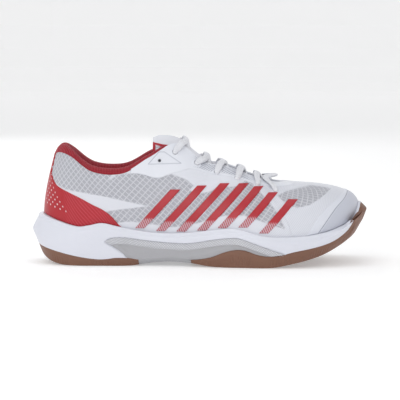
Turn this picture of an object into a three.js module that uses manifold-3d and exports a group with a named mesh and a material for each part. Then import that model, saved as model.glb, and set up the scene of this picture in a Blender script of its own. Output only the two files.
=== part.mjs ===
// A right-foot indoor court shoe: gum rubber outsole, foam midsole, textile upper with welded
// overlays, padded collar, hinged tongue and one long lace. Millimetres, +Z up, +X to the toe,
// +Y to the inner (medial) side. The shoe is laid out from the back of the heel at x = 0 with the
// floor at z = 0, and the finished group is moved so that its box stands centred on the origin.
import * as THREE from "three";
import { mergeVertices } from "three/addons/utils/BufferGeometryUtils.js";
import Module from "manifold-3d";

const wasm = await Module();
wasm.setup();

// ---------------------------------------------------------------- driving dimensions
const LENGTH = 285; // outsole length, heel to toe
const WIDTH_SCALE = 1; // girth fitting: 1 is a standard width
const HEIGHT_SCALE = 1; // instep and collar height: 1 is a low-cut shoe
const UPPER_WALL = 1.2; // textile of the vamp and quarters
const OVERLAY_WALL = 0.8; // welded film, heel wrap and toe guard
const GAP = 0.35; // air between pieces that touch on the real shoe
const SKIN = 2.6; // side wall of the outsole and shank over the foam
const TREAD = 4.2; // rubber under the foam
const BOARD = 1.6; // lasting board
const SOCKLINER = 4; // removable insole at its flat part
const COUNTER_WALL = 1.4; // stiff heel cup
const LINING_WALL = 1; // collar lining
const COLLAR_PAD = 6.5; // foam in the collar at the ankle
const CUP_GAP = 0.8; // between the upper and the foam cup, glued on the real shoe
const LACE = 3; // diameter of the round lace core
const EYELET = 5.8; // punched hole for the lace
const TONGUE_PAD = 5; // tongue thickness
const BAR_WIDTH = 8.4; // slanted bars on the quarter, across the bar
const SX = LENGTH / 285; // the outlines below are drawn for a 285 mm sole
const SIDE = { lateral: -1, medial: 1 };

// ---------------------------------------------------------------- small maths
const lerp = (a, b, t) => a + (b - a) * t;
const clamp = (v, lo, hi) => Math.min(hi, Math.max(lo, v));
const vec = (x, y, z) => new THREE.Vector3(x, y, z);

// Smooth value at x through [x, value] pairs: piecewise cubic with monotone-safe end slopes.
function profile(pairs) {
  const xs = pairs.map((p) => p[0] * SX);
  const ys = pairs.map((p) => p[1]);
  const slope = xs.map((_, i) => {
    const a = Math.max(0, i - 1);
    const b = Math.min(xs.length - 1, i + 1);
    return (ys[b] - ys[a]) / (xs[b] - xs[a]);
  });
  return (x) => {
    if (x <= xs[0]) return ys[0];
    if (x >= xs[xs.length - 1]) return ys[ys.length - 1];
    const i = xs.findIndex((v) => v > x) - 1;
    const h = xs[i + 1] - xs[i];
    const t = (x - xs[i]) / h;
    const [t2, t3] = [t * t, t * t * t];
    return (
      (2 * t3 - 3 * t2 + 1) * ys[i] +
      (t3 - 2 * t2 + t) * h * slope[i] +
      (3 * t2 - 2 * t3) * ys[i + 1] +
      (t3 - t2) * h * slope[i + 1]
    );
  };
}

// Periodic Catmull-Rom through points, at parameter s in point units.
function ringPoint(points, s) {
  const n = points.length;
  const i = Math.floor(s);
  const t = s - i;
  const at = (k) => points[(((i + k) % n) + n) % n];
  const [a, b, c, d] = [at(-1), at(0), at(1), at(2)];
  const f = (p, q, r, w) =>
    0.5 * (2 * q + (r - p) * t + (2 * p - 5 * q + 4 * r - w) * t * t + (3 * q - p - 3 * r + w) * t ** 3);
  return vec(f(a.x, b.x, c.x, d.x), f(a.y, b.y, c.y, d.y), f(a.z, b.z, c.z, d.z));
}

// ---------------------------------------------------------------- side-view profiles, z at x
const groundLine = profile([
  [3, 16.5], [8, 10.5], [13, 5.5], [20, 2], [28, 0.3], [35, 0], [60, 0], [84, 0], [100, 2.2], [118, 3.6],
  [134, 2.8], [150, 0.6], [162, 0], [180, 0], [198, 0], [207, 0.8], [220, 3.4], [230, 5.6], [245, 10],
  [257, 15.4], [266, 20.5], [275, 27], [282, 36], [285, 44],
]);
const gumTop = profile([
  [0, 18.6], [4, 17.3], [13, 14.3], [27, 10.7], [42, 7.6], [57, 5.6], [65, 5.9], [72, 6.8], [82, 6.6],
  [92, 5.6], [130, 5.6], [140, 6], [152, 8.4], [162, 12.4], [172, 14.9], [180, 14.5], [190, 11.2],
  [200, 9.7], [210, 10.8], [220, 13.4], [235, 16.3], [245, 18.6], [255, 22.2], [264, 28.5], [270, 37],
  [275, 46], [280, 52.5], [285, 54],
]);
const creaseLine = profile([
  [0, 29], [9, 24.8], [20, 20.8], [31, 17.5], [42, 14.2], [52, 12], [63, 10.6], [77, 10], [110, 11.5],
  [140, 13], [172, 20.5], [186, 22], [200, 21.5], [215, 20.6], [235, 20], [250, 24], [262, 30.5],
  [270, 39], [276, 47], [285, 53],
]);
const midsoleTop = profile([
  [0, 41.5], [7, 41.5], [12, 41.4], [24, 37.1], [41, 32.5], [50, 33.6], [61, 35.5], [75, 32.5], [88, 30],
  [109, 27.5], [134, 28.2], [156, 31], [172, 32.1], [186, 28.6], [196, 26.1], [210, 25.1], [224, 25.6],
  [235, 26.5], [250, 29.4], [262, 33.5], [270, 39.5], [276, 47.5], [281, 53.6], [285, 55],
]);
const footbed = profile([
  [13, 27], [40, 25], [80, 23], [120, 20], [160, 17.5], [200, 16.4], [220, 17.4], [240, 21], [258, 26.5],
  [270, 33.5], [280, 38],
]);

// ---------------------------------------------------------------- the upper's surface
// Each station is a rib of the last, from the heel's centre (first) to the toe's tip (last).
// foot: where the rib leaves the lasting board. rim: where it ends at the collar, eyestay or throat.
// low and high shape the rib between: how far out along the outline's normal, and how far up or down.
const STATIONS = [
  { foot: [13, 0, 0], rim: [20.5, 0, 0, 92.5], low: [6, 18], high: [4, 16] },
  { foot: [19, 17, 16.5], rim: [24, 11, 11, 96.8], low: [6, 18], high: [6, 18] },
  { foot: [38, 29, 27.5], rim: [34.5, 21, 21, 93], low: [5, 18], high: [9, 16] },
  { foot: [62, 31, 29], rim: [53, 29, 29, 79.8], low: [5, 16], high: [6, 14] },
  { foot: [88, 31.5, 27.5], rim: [78, 30.5, 31, 78.2], low: [5, 16], high: [4, 14] },
  { foot: [112, 34, 29], rim: [100.5, 27, 28.5, 90.8], low: [5, 20], high: [7, 18] },
  { foot: [136, 38.5, 33], rim: [124, 19, 20.5, 102], low: [5, 24], high: [12, 17] },
  { foot: [160, 44, 39], rim: [146, 17, 18.5, 86], low: [5, 24], high: [14, 6] },
  { foot: [184, 48, 43.5], rim: [165, 16.5, 18, 82], low: [5, 24], high: [15, 5] },
  { foot: [208, 49.5, 45.5], rim: [183, 14.5, 16.5, 75], low: [5, 24], high: [16, 4] },
  { foot: [232, 46, 43.5], rim: [198, 11.5, 14, 69.6], low: [6, 24], high: [18, 2.5] },
  { foot: [253, 35, 37.5], rim: [207.5, 7, 10, 67.8], low: [11, 26], high: [25, 1] },
  { foot: [267, 18, 25], rim: [211.5, 1.5, 5.5, 67.6], low: [16, 28], high: [33, 0] },
  { foot: [272, 4, 4], rim: [212.5, 2, 2, 67.6], low: [20, 29], high: [38, 0] },
];
const LAST = STATIONS.length - 1; // index of the toe station
const RING = 2 * LAST; // stations right round the shoe
const side = (k) => (k <= LAST ? SIDE.lateral : SIDE.medial);
const stationAt = (k) => STATIONS[k <= LAST ? k : RING - k];
const ringOf = (make) => Array.from({ length: RING }, (_, k) => make(stationAt(k), side(k), k));
const instepHeight = (z) => lerp(z, 30 + (z - 30) * HEIGHT_SCALE, clamp((z - 30) / 30, 0, 1));

const footRing = ringOf(({ foot }, sign) => {
  const y = sign < 0 ? -foot[1] : foot[2];
  const tip = foot[1] === foot[2] && foot[0] > 200;
  return vec(foot[0] * SX, (tip ? foot[2] : y) * WIDTH_SCALE, footbed(foot[0] * SX));
});
const rimRing = ringOf(({ rim }, sign) => {
  const y = sign < 0 ? -rim[1] : rim[2];
  const tip = rim[1] === rim[2] && rim[0] > 212;
  return vec(rim[0] * SX, (tip ? rim[2] : y) * WIDTH_SCALE, instepHeight(rim[3]));
});
// Outward normal of the foot outline in plan.
function outlineNormal(s) {
  const a = ringPoint(footRing, s - 0.05);
  const b = ringPoint(footRing, s + 0.05);
  return vec(b.y - a.y, -(b.x - a.x), 0).normalize();
}
const lowRing = footRing.map((p, k) => {
  const [out, up] = stationAt(k).low;
  return p.clone().addScaledVector(outlineNormal(k), out).add(vec(0, 0, up));
});
const highRing = rimRing.map((p, k) => {
  const [out, down] = stationAt(k).high;
  return p.clone().addScaledVector(outlineNormal(k), out).add(vec(0, 0, -down));
});

// A point of the upper's outer surface: s runs round the shoe in stations, t from board to rim.
function surface(s, t) {
  const c = [footRing, lowRing, highRing, rimRing].map((r) => ringPoint(r, s));
  const u = 1 - t;
  return c[0].multiplyScalar(u ** 3)
    .addScaledVector(c[1], 3 * u * u * t)
    .addScaledVector(c[2], 3 * u * t * t)
    .addScaledVector(c[3], t ** 3);
}
function surfaceNormal(s, t) {
  const [ds, dt] = [0.04, 0.02];
  const along = surface(s + ds, t).sub(surface(s - ds, t));
  const up = surface(s, Math.min(1, t + dt)).sub(surface(s, Math.max(0, t - dt)));
  return along.cross(up).normalize();
}
const offsetPoint = (s, t, out) => surface(s, t).addScaledVector(surfaceNormal(s, t), out);

// The rib parameter at which the surface reaches height z above the board.
function ribAtHeight(s, z) {
  let [lo, hi] = [0, 0.75];
  for (let i = 0; i < 24; i++) {
    const mid = (lo + hi) / 2;
    if (surface(s, mid).z < z) lo = mid;
    else hi = mid;
  }
  return lo;
}
// The (s, t) whose surface point has the given x and z on one side, by Newton steps.
function onSide(x, z, sign, guess = 8) {
  let s = sign < 0 ? guess : RING - guess;
  let t = 0.5;
  for (let i = 0; i < 40; i++) {
    const p = surface(s, t);
    const ps = surface(s + 0.01, t).sub(p).divideScalar(0.01);
    const pt = surface(s, t + 0.005).sub(p).divideScalar(0.005);
    const det = ps.x * pt.z - pt.x * ps.z;
    const [ex, ez] = [x * SX - p.x, z - p.z];
    s += clamp((ex * pt.z - pt.x * ez) / det, -0.5, 0.5);
    t = clamp(t + clamp((ps.x * ez - ps.z * ex) / det, -0.1, 0.1), 0, 1);
  }
  return [s, t];
}

// ---------------------------------------------------------------- solids from loops of points
function geometryOf(points, faces) {
  const g = new THREE.BufferGeometry();
  g.setAttribute("position", new THREE.Float32BufferAttribute(points.flatMap((p) => [p.x, p.y, p.z]), 3));
  g.setIndex(faces.flat());
  return g;
}
// Skins a stack of equal loops. closed: the stack itself comes round to its start; otherwise the
// two end loops are capped with a fan, unless they have been zipped shut on their centre line.
function skin(loops, { closed = false, capped = true } = {}) {
  const n = loops[0].length;
  const points = loops.flat();
  const faces = [];
  const bands = closed ? loops.length : loops.length - 1;
  for (let r = 0; r < bands; r++) {
    const [a, b] = [r * n, ((r + 1) % loops.length) * n];
    for (let i = 0; i < n; i++) {
      const j = (i + 1) % n;
      faces.push([a + i, a + j, b + j], [a + i, b + j, b + i]);
    }
  }
  if (!closed && capped)
    for (const [base, flip] of [[0, true], [(loops.length - 1) * n, false]]) {
      const middle = points.length;
      const loop = points.slice(base, base + n);
      points.push(loop.reduce((sum, p) => sum.add(p), vec(0, 0, 0)).divideScalar(n));
      for (let i = 0; i < n; i++) {
        const j = (i + 1) % n;
        faces.push(flip ? [middle, base + j, base + i] : [middle, base + i, base + j]);
      }
    }
  return solid(geometryOf(points, faces));
}
// Merges a geometry's shared corners and makes it a manifold solid that faces out.
function solid(geometry) {
  const bare = geometry.clone();
  bare.deleteAttribute("normal");
  bare.deleteAttribute("uv");
  const merged = mergeVertices(bare, 1e-3);
  const build = (tri) =>
    new wasm.Manifold(
      new wasm.Mesh({
        numProp: 3,
        vertProperties: new Float32Array(merged.attributes.position.array),
        triVerts: new Uint32Array(tri),
      }),
    );
  const index = Array.from(merged.index.array);
  const kept = [];
  for (let i = 0; i < index.length; i += 3) {
    const [a, b, c] = index.slice(i, i + 3);
    if (a !== b && b !== c && a !== c) kept.push(a, b, c);
  }
  const made = build(kept);
  if (made.volume() > 0) return made;
  for (let i = 0; i < kept.length; i += 3) [kept[i + 1], kept[i + 2]] = [kept[i + 2], kept[i + 1]];
  return build(kept);
}
function meshOf(name, shape, material) {
  const m = shape.getMesh();
  const g = new THREE.BufferGeometry();
  const position = new Float32Array(m.numVert * 3);
  for (let i = 0; i < m.numVert; i++)
    position.set(m.vertProperties.subarray(i * m.numProp, i * m.numProp + 3), i * 3);
  g.setAttribute("position", new THREE.BufferAttribute(position, 3));
  g.setIndex(new THREE.BufferAttribute(new Uint32Array(m.triVerts), 1));
  g.computeVertexNormals();
  const mesh = new THREE.Mesh(g, material);
  mesh.name = name;
  return mesh;
}
// The largest separate body of a cut result, without the slivers and needle faces the cut left.
const biggest = (shape) =>
  shape.decompose().reduce((a, b) => (b.volume() > a.volume() ? b : a)).simplify(0.01);
// A closed outline in the side view, as [x, z] pairs, pushed right across the shoe.
function sideBlock(outline, yLow = -90, yHigh = 90) {
  const shape = new THREE.Shape(outline.map(([x, z]) => new THREE.Vector2(x * SX, z)));
  const g = new THREE.ExtrudeGeometry(shape, { depth: yHigh - yLow, bevelEnabled: false });
  g.rotateX(Math.PI / 2);
  g.translate(0, yHigh, 0);
  return solid(g);
}

// ---------------------------------------------------------------- materials
const finish = (color, roughness) => new THREE.MeshStandardMaterial({ color, roughness, metalness: 0 });
const GUM = finish(0x7a5240, 0.55);
const FOAM = finish(0xe6e8f0, 0.6);
const SHANK_GREY = finish(0xb9bbbd, 0.45);
const GEL = finish(0xcfd6dc, 0.25);
const BOARD_WHITE = finish(0xe4e2dc, 0.9);
const INSOLE_GREY = finish(0x9a9da3, 0.95);
const WHITE_TEXTILE = finish(0xe8eaee, 0.85);
const WHITE_FILM = finish(0xeceef4, 0.5);
const RED_FILM = finish(0xc41e2e, 0.45);
const RED_TEXTILE = finish(0xb8202e, 0.9);
const PAD = finish(0xd9d9d6, 0.95);
const STIFF = finish(0xd8d8d8, 0.6);
const LACE_WHITE = finish(0xf0f0f2, 0.9);
const CLEAR = finish(0xe8e8ea, 0.3);

const shoe = new THREE.Group();
const add = (name, shape, material) => shoe.add(meshOf(name, shape, material));

// ---------------------------------------------------------------- the sole
const RIBS = 52; // ribs round every full loop; a multiple of the station count keeps layers parallel
const ribs = Array.from({ length: RIBS }, (_, i) => (i * RING) / RIBS);
const creaseOut = profile([[13, 12.7], [22, 10.5], [38, 8.5], [62, 7.5], [110, 6], [160, 6.5], [208, 7.5],
  [240, 9], [258, 11], [272, 13]]);
const lowerOut = profile([[13, 8.6], [38, 6.8], [62, 6.2], [110, 4], [160, 5.5], [208, 6.5], [240, 7],
  [258, 7.4], [272, 9]]);
const bottomOut = profile([[13, 5], [38, 4.2], [62, 4.2], [110, 0.5], [160, 3.4], [208, 4.4], [240, 3.4],
  [258, 1.5], [272, 2]]);
const lipThickness = profile([[13, 3.8], [38, 3], [110, 2.8], [208, 3], [250, 4.2], [272, 5]]);

function wallPoint(s, out, height) {
  const p = ringPoint(footRing, s).addScaledVector(outlineNormal(s), out);
  return p.setZ(height(p.x));
}
// Moves a loop towards the centre line by a share, with each point's height from a profile.
function inward(loop, share, height) {
  return loop.map((p, i) => {
    const mate = loop[(loop.length - i) % loop.length];
    if (mate === p) return p.clone();
    const middle = vec((p.x + mate.x) / 2, (p.y + mate.y) / 2, 0);
    const q = p.clone().lerp(middle, share);
    return q.setZ(height(q.x));
  });
}
const lipLoop = (out) =>
  ribs.map((s) => {
    const rough = surface(s, ribAtHeight(s, midsoleTop(ringPoint(footRing, s).x)));
    const z = midsoleTop(rough.x);
    return surface(s, ribAtHeight(s, z)).addScaledVector(outlineNormal(s), out(s)).setZ(z);
  });
const lipOut = (s) => CUP_GAP + lipThickness(ringPoint(footRing, s).x);
// The outer walls of the sole unit, inset by a skin and with the floor raised, from the floor up.
function soleLoops(inset, raise) {
  const floor = (x) => groundLine(x) + raise;
  const wall = (out, height) => ribs.map((s) => wallPoint(s, out(ringPoint(footRing, s).x) - inset, height));
  const lower = wall(lowerOut, (x) => Math.max(lerp(groundLine(x), creaseLine(x), 0.38), floor(x) + 0.4));
  const bottom = wall(bottomOut, floor);
  const crease = wall(creaseOut, (x) => Math.max(creaseLine(x), floor(x) + 1));
  const lip = lipLoop((s) => lipOut(s) - inset);
  return [inward(bottom, 1, floor), inward(bottom, 0.5, floor), bottom, lower, crease, lip];
}
const cupWall = ribs.map((s) => {
  const p = ringPoint(footRing, s).addScaledVector(outlineNormal(s), CUP_GAP);
  return p.setZ(footbed(p.x) - GAP);
});
const bedHeight = (x) => footbed(x) - GAP;
const cupMid = ribs.map((s, i) => {
  const lip = midsoleTop(ringPoint(footRing, s).x);
  const z = (cupWall[i].z + lip) / 2;
  return surface(s, ribAtHeight(s, z)).addScaledVector(outlineNormal(s), CUP_GAP).setZ(z);
});
const soleBody = skin(
  [
    ...soleLoops(0, 0),
    lipLoop(() => CUP_GAP),
    cupMid,
    cupWall,
    inward(cupWall, 0.5, bedHeight),
    inward(cupWall, 1, bedHeight),
  ],
  { capped: false },
);
// Everything inside the rubber and shank: open upwards, well past the lip.
function core(inset, raise) {
  const loops = soleLoops(inset, raise);
  const top = loops[loops.length - 1].map((p) => p.clone().setZ(p.z + 30));
  return skin([...loops, top, inward(top, 1, () => 90)], { capped: false });
}
const skinCore = core(SKIN, TREAD);
const foamCore = core(SKIN + 3 * GAP, TREAD + 3 * GAP);

const sampled = (curve, from, to, step) => {
  const n = Math.max(1, Math.round((to - from) / step));
  return Array.from({ length: n + 1 }, (_, i) => lerp(from, to, i / n)).map((x) => [x, curve(x * SX)]);
};
const HEEL_GUM_END = 92; // front edge of the heel rubber
const FORE_GUM_START = 136; // rear edge of the forefoot rubber
const shankTop = profile([[65, 21], [71, 23.8], [81, 23.8], [96, 21.9], [115, 20.1], [134, 19.9],
  [154, 23.2], [171, 25], [179, 23.5], [190, 19.6], [204, 14.6], [211, 12.4]]);
const heelGumOutline = (grow) => [
  [-10, -5], [HEEL_GUM_END + grow, -5], [HEEL_GUM_END + grow, 2 + grow], [84, 4 + grow],
  ...sampled(gumTop, -10, 78, 6).reverse().map(([x, z]) => [x, z + grow]),
];
const foreGumOutline = (grow) => [
  [FORE_GUM_START - grow, -5], [300, -5],
  ...sampled(gumTop, 140, 300, 5).reverse().map(([x, z]) => [x, z + grow]),
  [FORE_GUM_START - grow, 4 + grow],
];
const shankOutline = (grow) => [
  [HEEL_GUM_END + 2 * GAP - grow, -5], [FORE_GUM_START - 2 * GAP + grow, -5],
  [FORE_GUM_START - 2 * GAP + grow, 4 + 2 * GAP - grow],
  ...sampled(gumTop, 141, 208, 6).map(([x, z]) => [x, z + 2 * GAP - grow]),
  [213 + grow, 12.2],
  ...sampled(shankTop, 66, 208, 8).reverse().map(([x, z]) => [x, z + grow]),
  [64 - grow, 20], [71 - grow, 15.8 - grow], [78 - grow, 10.8 - grow], [80.5 - grow, 7.5 - grow],
  [85 - grow, 5], [HEEL_GUM_END + 2 * GAP - grow, 2.4 + 2 * GAP],
];
const outsoleHeel = soleBody.intersect(sideBlock(heelGumOutline(0))).subtract(skinCore);
const outsoleFront = soleBody.intersect(sideBlock(foreGumOutline(0))).subtract(skinCore);
const shank = soleBody.intersect(sideBlock(shankOutline(0))).subtract(skinCore);

// Flex grooves run straight across the tread.
const GROOVE_DEPTH = 1.8;
const groove = (x, width, tilt = 0) => {
  const half = width / 2;
  const z = groundLine(x * SX) + GROOVE_DEPTH;
  return sideBlock([[x - half * 1.5 - tilt, -8], [x + half * 1.5 - tilt, -8], [x + half, z], [x - half, z]]);
};
const FORE_GROOVES = [[178, 6], [198, 4], [222, 5], [242, 4], [258, 5]];
const HEEL_GROOVES = [[46, 3], [62, 3]];
const grooved = (sole, grooves) => biggest(grooves.reduce((r, [x, w]) => r.subtract(groove(x, w)), sole));
add("outsole_forefoot", grooved(outsoleFront, FORE_GROOVES), GUM);
add("outsole_heel", grooved(outsoleHeel, HEEL_GROOVES), GUM);
add("midfoot_shank", biggest(shank), SHANK_GREY);

// Cushion insert: a round-ended puck let into the foam under the heel, flush with the foot bed.
const PUCK = { x: 42, y: -1, length: 40, width: 34, depth: 9 };
function puck(grow, top) {
  const halfWidth = PUCK.width / 2 + grow;
  const straight = (PUCK.length - PUCK.width) / 2;
  const shape = new THREE.Shape();
  shape.absarc(straight, 0, halfWidth, -Math.PI / 2, Math.PI / 2, false);
  shape.absarc(-straight, 0, halfWidth, Math.PI / 2, (3 * Math.PI) / 2, false);
  const floor = footbed(PUCK.x * SX) - PUCK.depth - grow;
  const depth = top - floor;
  const g = new THREE.ExtrudeGeometry(shape, { depth, bevelEnabled: false, curveSegments: 10 });
  g.translate(PUCK.x * SX, PUCK.y, floor);
  return solid(g);
}
const puckTop = Math.min(...[-1, 1].map((k) => bedHeight((PUCK.x + (k * PUCK.length) / 2) * SX))) - GAP;
const midsole = soleBody
  .subtract(sideBlock(heelGumOutline(GAP)))
  .subtract(sideBlock(foreGumOutline(GAP)))
  .subtract(sideBlock(shankOutline(GAP)))
  .add(foamCore.intersect(soleBody))
  .subtract(puck(GAP, 60));
add("midsole", biggest(midsole), FOAM);
add("heel_cushion_insert", puck(0, puckTop), GEL);

// Lasting board, closing the bottom of the upper, and the removable insole on it.
const INNER = UPPER_WALL + GAP; // inner face of the upper with a gap
const plateLoop = (rise, inset) =>
  ribs.map((s) => {
    const p = ringPoint(footRing, s).addScaledVector(outlineNormal(s), -inset(s));
    return p.setZ(footbed(p.x) + rise);
  });
function plate(low, high, inset) {
  const [a, b] = [plateLoop(low, inset), plateLoop(high, inset)];
  const at = (rise) => (x) => footbed(x) + rise;
  const under = [inward(a, 1, at(low)), inward(a, 0.5, at(low))];
  const over = [inward(b, 0.5, at(high)), inward(b, 1, at(high))];
  return skin([...under, a, b, ...over], { capped: false });
}
add("lasting_board", plate(0, BOARD, () => INNER), BOARD_WHITE);
const insoleFloor = BOARD + GAP;
// Round the heel the insole also clears the counter and the lining; further forward only the upper.
const insoleInset = (s) => {
  const rearward = clamp((8 - Math.min(s, RING - s)) / 2, 0, 1);
  return INNER + GAP + rearward * (COUNTER_WALL + LINING_WALL + 2 * GAP);
};
const dish = profile([[13, 5], [60, 4], [100, 3], [150, 1], [272, 0]]); // edge turned up round the heel
const insoleRim = ribs.map((s) => {
  const p = ringPoint(footRing, s).addScaledVector(outlineNormal(s), -insoleInset(s));
  return p.setZ(footbed(p.x) + insoleFloor + SOCKLINER + dish(p.x));
});
const insoleEdge = plateLoop(insoleFloor, insoleInset);
const insoleTop = (x) => footbed(x) + insoleFloor + SOCKLINER;
add(
  "sockliner",
  skin([
    inward(insoleEdge, 1, (x) => footbed(x) + insoleFloor),
    inward(insoleEdge, 0.5, (x) => footbed(x) + insoleFloor),
    insoleEdge,
    insoleRim,
    inward(insoleRim, 0.5, (x) => insoleTop(x) + dish(x) * 0.1),
    inward(insoleRim, 1, insoleTop),
  ], { capped: false }),
  INSOLE_GREY,
);

// ---------------------------------------------------------------- the upper
// A curved panel between two rib positions and two heights, as thick as [inner, outer] offsets.
// low and high give t at each s.
function panel(sFrom, sTo, low, high, [inner, outer], rows = 8) {
  const between = [];
  for (let s = Math.floor(sFrom * 2 + 1.2) / 2; s < sTo - 0.1; s += 0.5) between.push(s);
  const loops = [];
  for (const s of [sFrom, ...between, sTo]) {
    const t = (r) => lerp(low(s), high(s), r / rows);
    const loop = [];
    for (let r = 0; r <= rows; r++) loop.push(offsetPoint(s, t(r), outer));
    for (let r = rows; r >= 0; r--) loop.push(offsetPoint(s, t(r), inner));
    loops.push(loop);
  }
  return strip(loops);
}
// Skins a row of flat-section loops and closes each end with rungs between its two long sides.
function strip(loops) {
  const n = loops[0].length;
  const points = loops.flat();
  const faces = [];
  for (let r = 0; r < loops.length - 1; r++)
    for (let i = 0; i < n; i++) {
      const j = (i + 1) % n;
      const [a, b] = [r * n, (r + 1) * n];
      faces.push([a + i, a + j, b + j], [a + i, b + j, b + i]);
    }
  const last = (loops.length - 1) * n;
  for (let i = 0; i < n / 2 - 1; i++) {
    const [p, q, u, v] = [i, i + 1, n - 2 - i, n - 1 - i];
    faces.push([p, u, q], [p, v, u]);
    faces.push([last + p, last + q, last + u], [last + p, last + u, last + v]);
  }
  return solid(geometryOf(points, faces));
}
const constant = (v) => () => v;
const VAMP_SEAM = 9.5; // station where the vamp meets the quarters
const HEEL_SEAM = 0; // the quarters meet behind the heel
const SEAM_GAP = 0.02; // in stations
const BASE = [-UPPER_WALL, 0];
const WELD_GAP = 0.65; // between an overlay and the textile: both are faceted
const OVERLAY = [WELD_GAP, WELD_GAP + OVERLAY_WALL];

// Eyelets: places in the side view, from the throat's foot up to the unused lock hole.
const EYELETS = [[206, 62.5], [191, 67.5], [174, 72.5], [157, 77.5], [140, 85], [122, 94.5], [109, 87.5]];
const eyeletAt = (i, sign) => {
  const [s, t] = onSide(EYELETS[i][0], instepHeight(EYELETS[i][1]), sign, 9.8 - 0.85 * i);
  return { s, t, centre: surface(s, t), out: surfaceNormal(s, t) };
};
function punch(shape, sign) {
  return EYELETS.reduce((cut, _, i) => {
    const { centre, out } = eyeletAt(i, sign);
    const g = new THREE.CylinderGeometry(EYELET / 2, EYELET / 2, 12, 12);
    g.applyQuaternion(new THREE.Quaternion().setFromUnitVectors(vec(0, 1, 0), out));
    g.translate(centre.x, centre.y, centre.z);
    return cut.subtract(solid(g));
  }, shape);
}
const mirrorSpan = (a, b, sign) => (sign < 0 ? [a, b] : [RING - b, RING - a]);
// s counted from the heel on either side
const fromHeel = (s) => (s <= LAST ? s : RING - s);

const vamp = panel(VAMP_SEAM, RING - VAMP_SEAM, constant(0.012), constant(1), BASE, 14);
add("vamp", [-1, 1].reduce((v, sign) => punch(v, sign), vamp), WHITE_TEXTILE);

const SIDES = Object.entries(SIDE);
for (const [name, sign] of SIDES) {
  const [a, b] = mirrorSpan(HEEL_SEAM + SEAM_GAP, VAMP_SEAM - SEAM_GAP, sign);
  add(`quarter_${name}`, punch(panel(a, b, constant(0.012), constant(1), BASE, 12), sign), WHITE_TEXTILE);

  // Eyestay: a band along the throat with the punched holes.
  const eyestayLow = (s) => {
    const k = fromHeel(s);
    return clamp(0.8 - 0.16 * clamp(6.5 - k, 0, 1) + 0.02 * clamp(k - 9, 0, 3), 0.55, 0.9);
  };
  const [c, d] = mirrorSpan(5.5, 11.5, sign);
  add(`eyestay_${name}`, punch(panel(c, d, eyestayLow, constant(0.995), OVERLAY, 3), sign), WHITE_FILM);
}

// Heel wrap: the red panel round the back, tall at the centre and running forward along the sole.
const topOfSole = (s) => ribAtHeight(s, midsoleTop(surface(s, 0.15).x) + 0.8);
const HEEL_WRAP_END = 4;
const heelWrapTop = (s) => {
  const k = fromHeel(s) / HEEL_WRAP_END;
  const low = topOfSole(s);
  return Math.max(low + 0.035, lerp(low, 0.97, (1 - Math.min(1, k)) ** 1.35));
};
add("heel_wrap", joinedPanel(HEEL_WRAP_END, topOfSole, heelWrapTop, OVERLAY, 6), RED_FILM);

// A panel centred behind the heel, reaching the same number of stations along both sides.
function joinedPanel(reach, low, high, offsets, rows) {
  const columns = Math.round(4 * reach);
  const loops = Array.from({ length: columns + 1 }, (_, c) => {
    const s = (lerp(-reach, reach, c / columns) + RING) % RING;
    const t = (r) => lerp(low(s), high(s), r / rows);
    const loop = [];
    for (let r = 0; r <= rows; r++) loop.push(offsetPoint(s, t(r), offsets[1]));
    for (let r = rows; r >= 0; r--) loop.push(offsetPoint(s, t(r), offsets[0]));
    return loop;
  });
  return strip(loops);
}

// Stiff cup hidden between the quarters and the lining.
const COUNTER = [-INNER - COUNTER_WALL, -INNER];
const counterTop = (s) => 0.62 - 0.28 * (fromHeel(s) / 4) ** 2;
add("heel_counter", joinedPanel(4, constant(0.06), counterTop, COUNTER, 5), STIFF);

// Toe guard: smooth white film round the toe, from the sole up to a curve over the toes.
const guardTop = (s) => {
  const k = (LAST - fromHeel(s)) / 2.4;
  return lerp(0.44, topOfSole(s) + 0.04, Math.min(1, k) ** 1.6);
};
add("toe_guard", panel(LAST - 2.5, LAST + 2.5, topOfSole, guardTop, OVERLAY, 5), WHITE_FILM);

// Slanted bars welded on each quarter: they lean forward and stop short of the eyestay.
const BARS = { count: 7, first: 88, pitch: 17.2, slant: 0.92 };
const barTop = profile([[88, 58], [110, 64], [140, 69], [170, 68], [200, 60], [230, 50]]);
function bar(index, sign) {
  const x0 = BARS.first + BARS.pitch * index;
  const z0 = midsoleTop(x0 * SX) + 2.2;
  const across = BAR_WIDTH * Math.hypot(1, BARS.slant) * 0.74;
  const z1 = instepHeight(barTop((x0 + 22) * SX));
  const [rows, columns] = [6, 2];
  const loops = Array.from({ length: rows + 1 }, (_, r) => {
    const z = lerp(z0, z1, r / rows);
    const x = x0 + (z - z0) * BARS.slant;
    const spots = Array.from({ length: columns + 1 }, (_, c) =>
      onSide(x + lerp(0, across, c / columns), z, sign, x / 20 - 1 + 1.2),
    );
    return [
      ...spots.map(([s, t]) => offsetPoint(s, t, OVERLAY[1])),
      ...spots.reverse().map(([s, t]) => offsetPoint(s, t, OVERLAY[0])),
    ];
  });
  return strip(loops);
}
for (const [name, sign] of SIDES)
  for (let i = 0; i < BARS.count; i++) add(`side_bar_${name}_${i + 1}`, bar(i, sign), RED_FILM);

// ---------------------------------------------------------------- collar
// The collar runs from one eyestay round the heel to the other. Depths are inward from the surface.
const COLLAR_REACH = 5.5; // stations each way from the heel
const collarPad = (s) => {
  const k = fromHeel((s + RING) % RING);
  return lerp(COLLAR_PAD, 1.3, clamp((k - 3.6) / 1.9, 0, 1));
};
const eased = (t) => t * t * (3 - 2 * t);
const padAt = (s, t) => collarPad(s) * lerp(0.4, 1, eased(clamp((t - 0.6) / 0.3, 0, 1)));
function collarLoops(section) {
  const columns = COLLAR_REACH * 4;
  return Array.from({ length: columns + 1 }, (_, c) =>
    section((lerp(-COLLAR_REACH, COLLAR_REACH, c / columns) + RING) % RING),
  );
}
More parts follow.
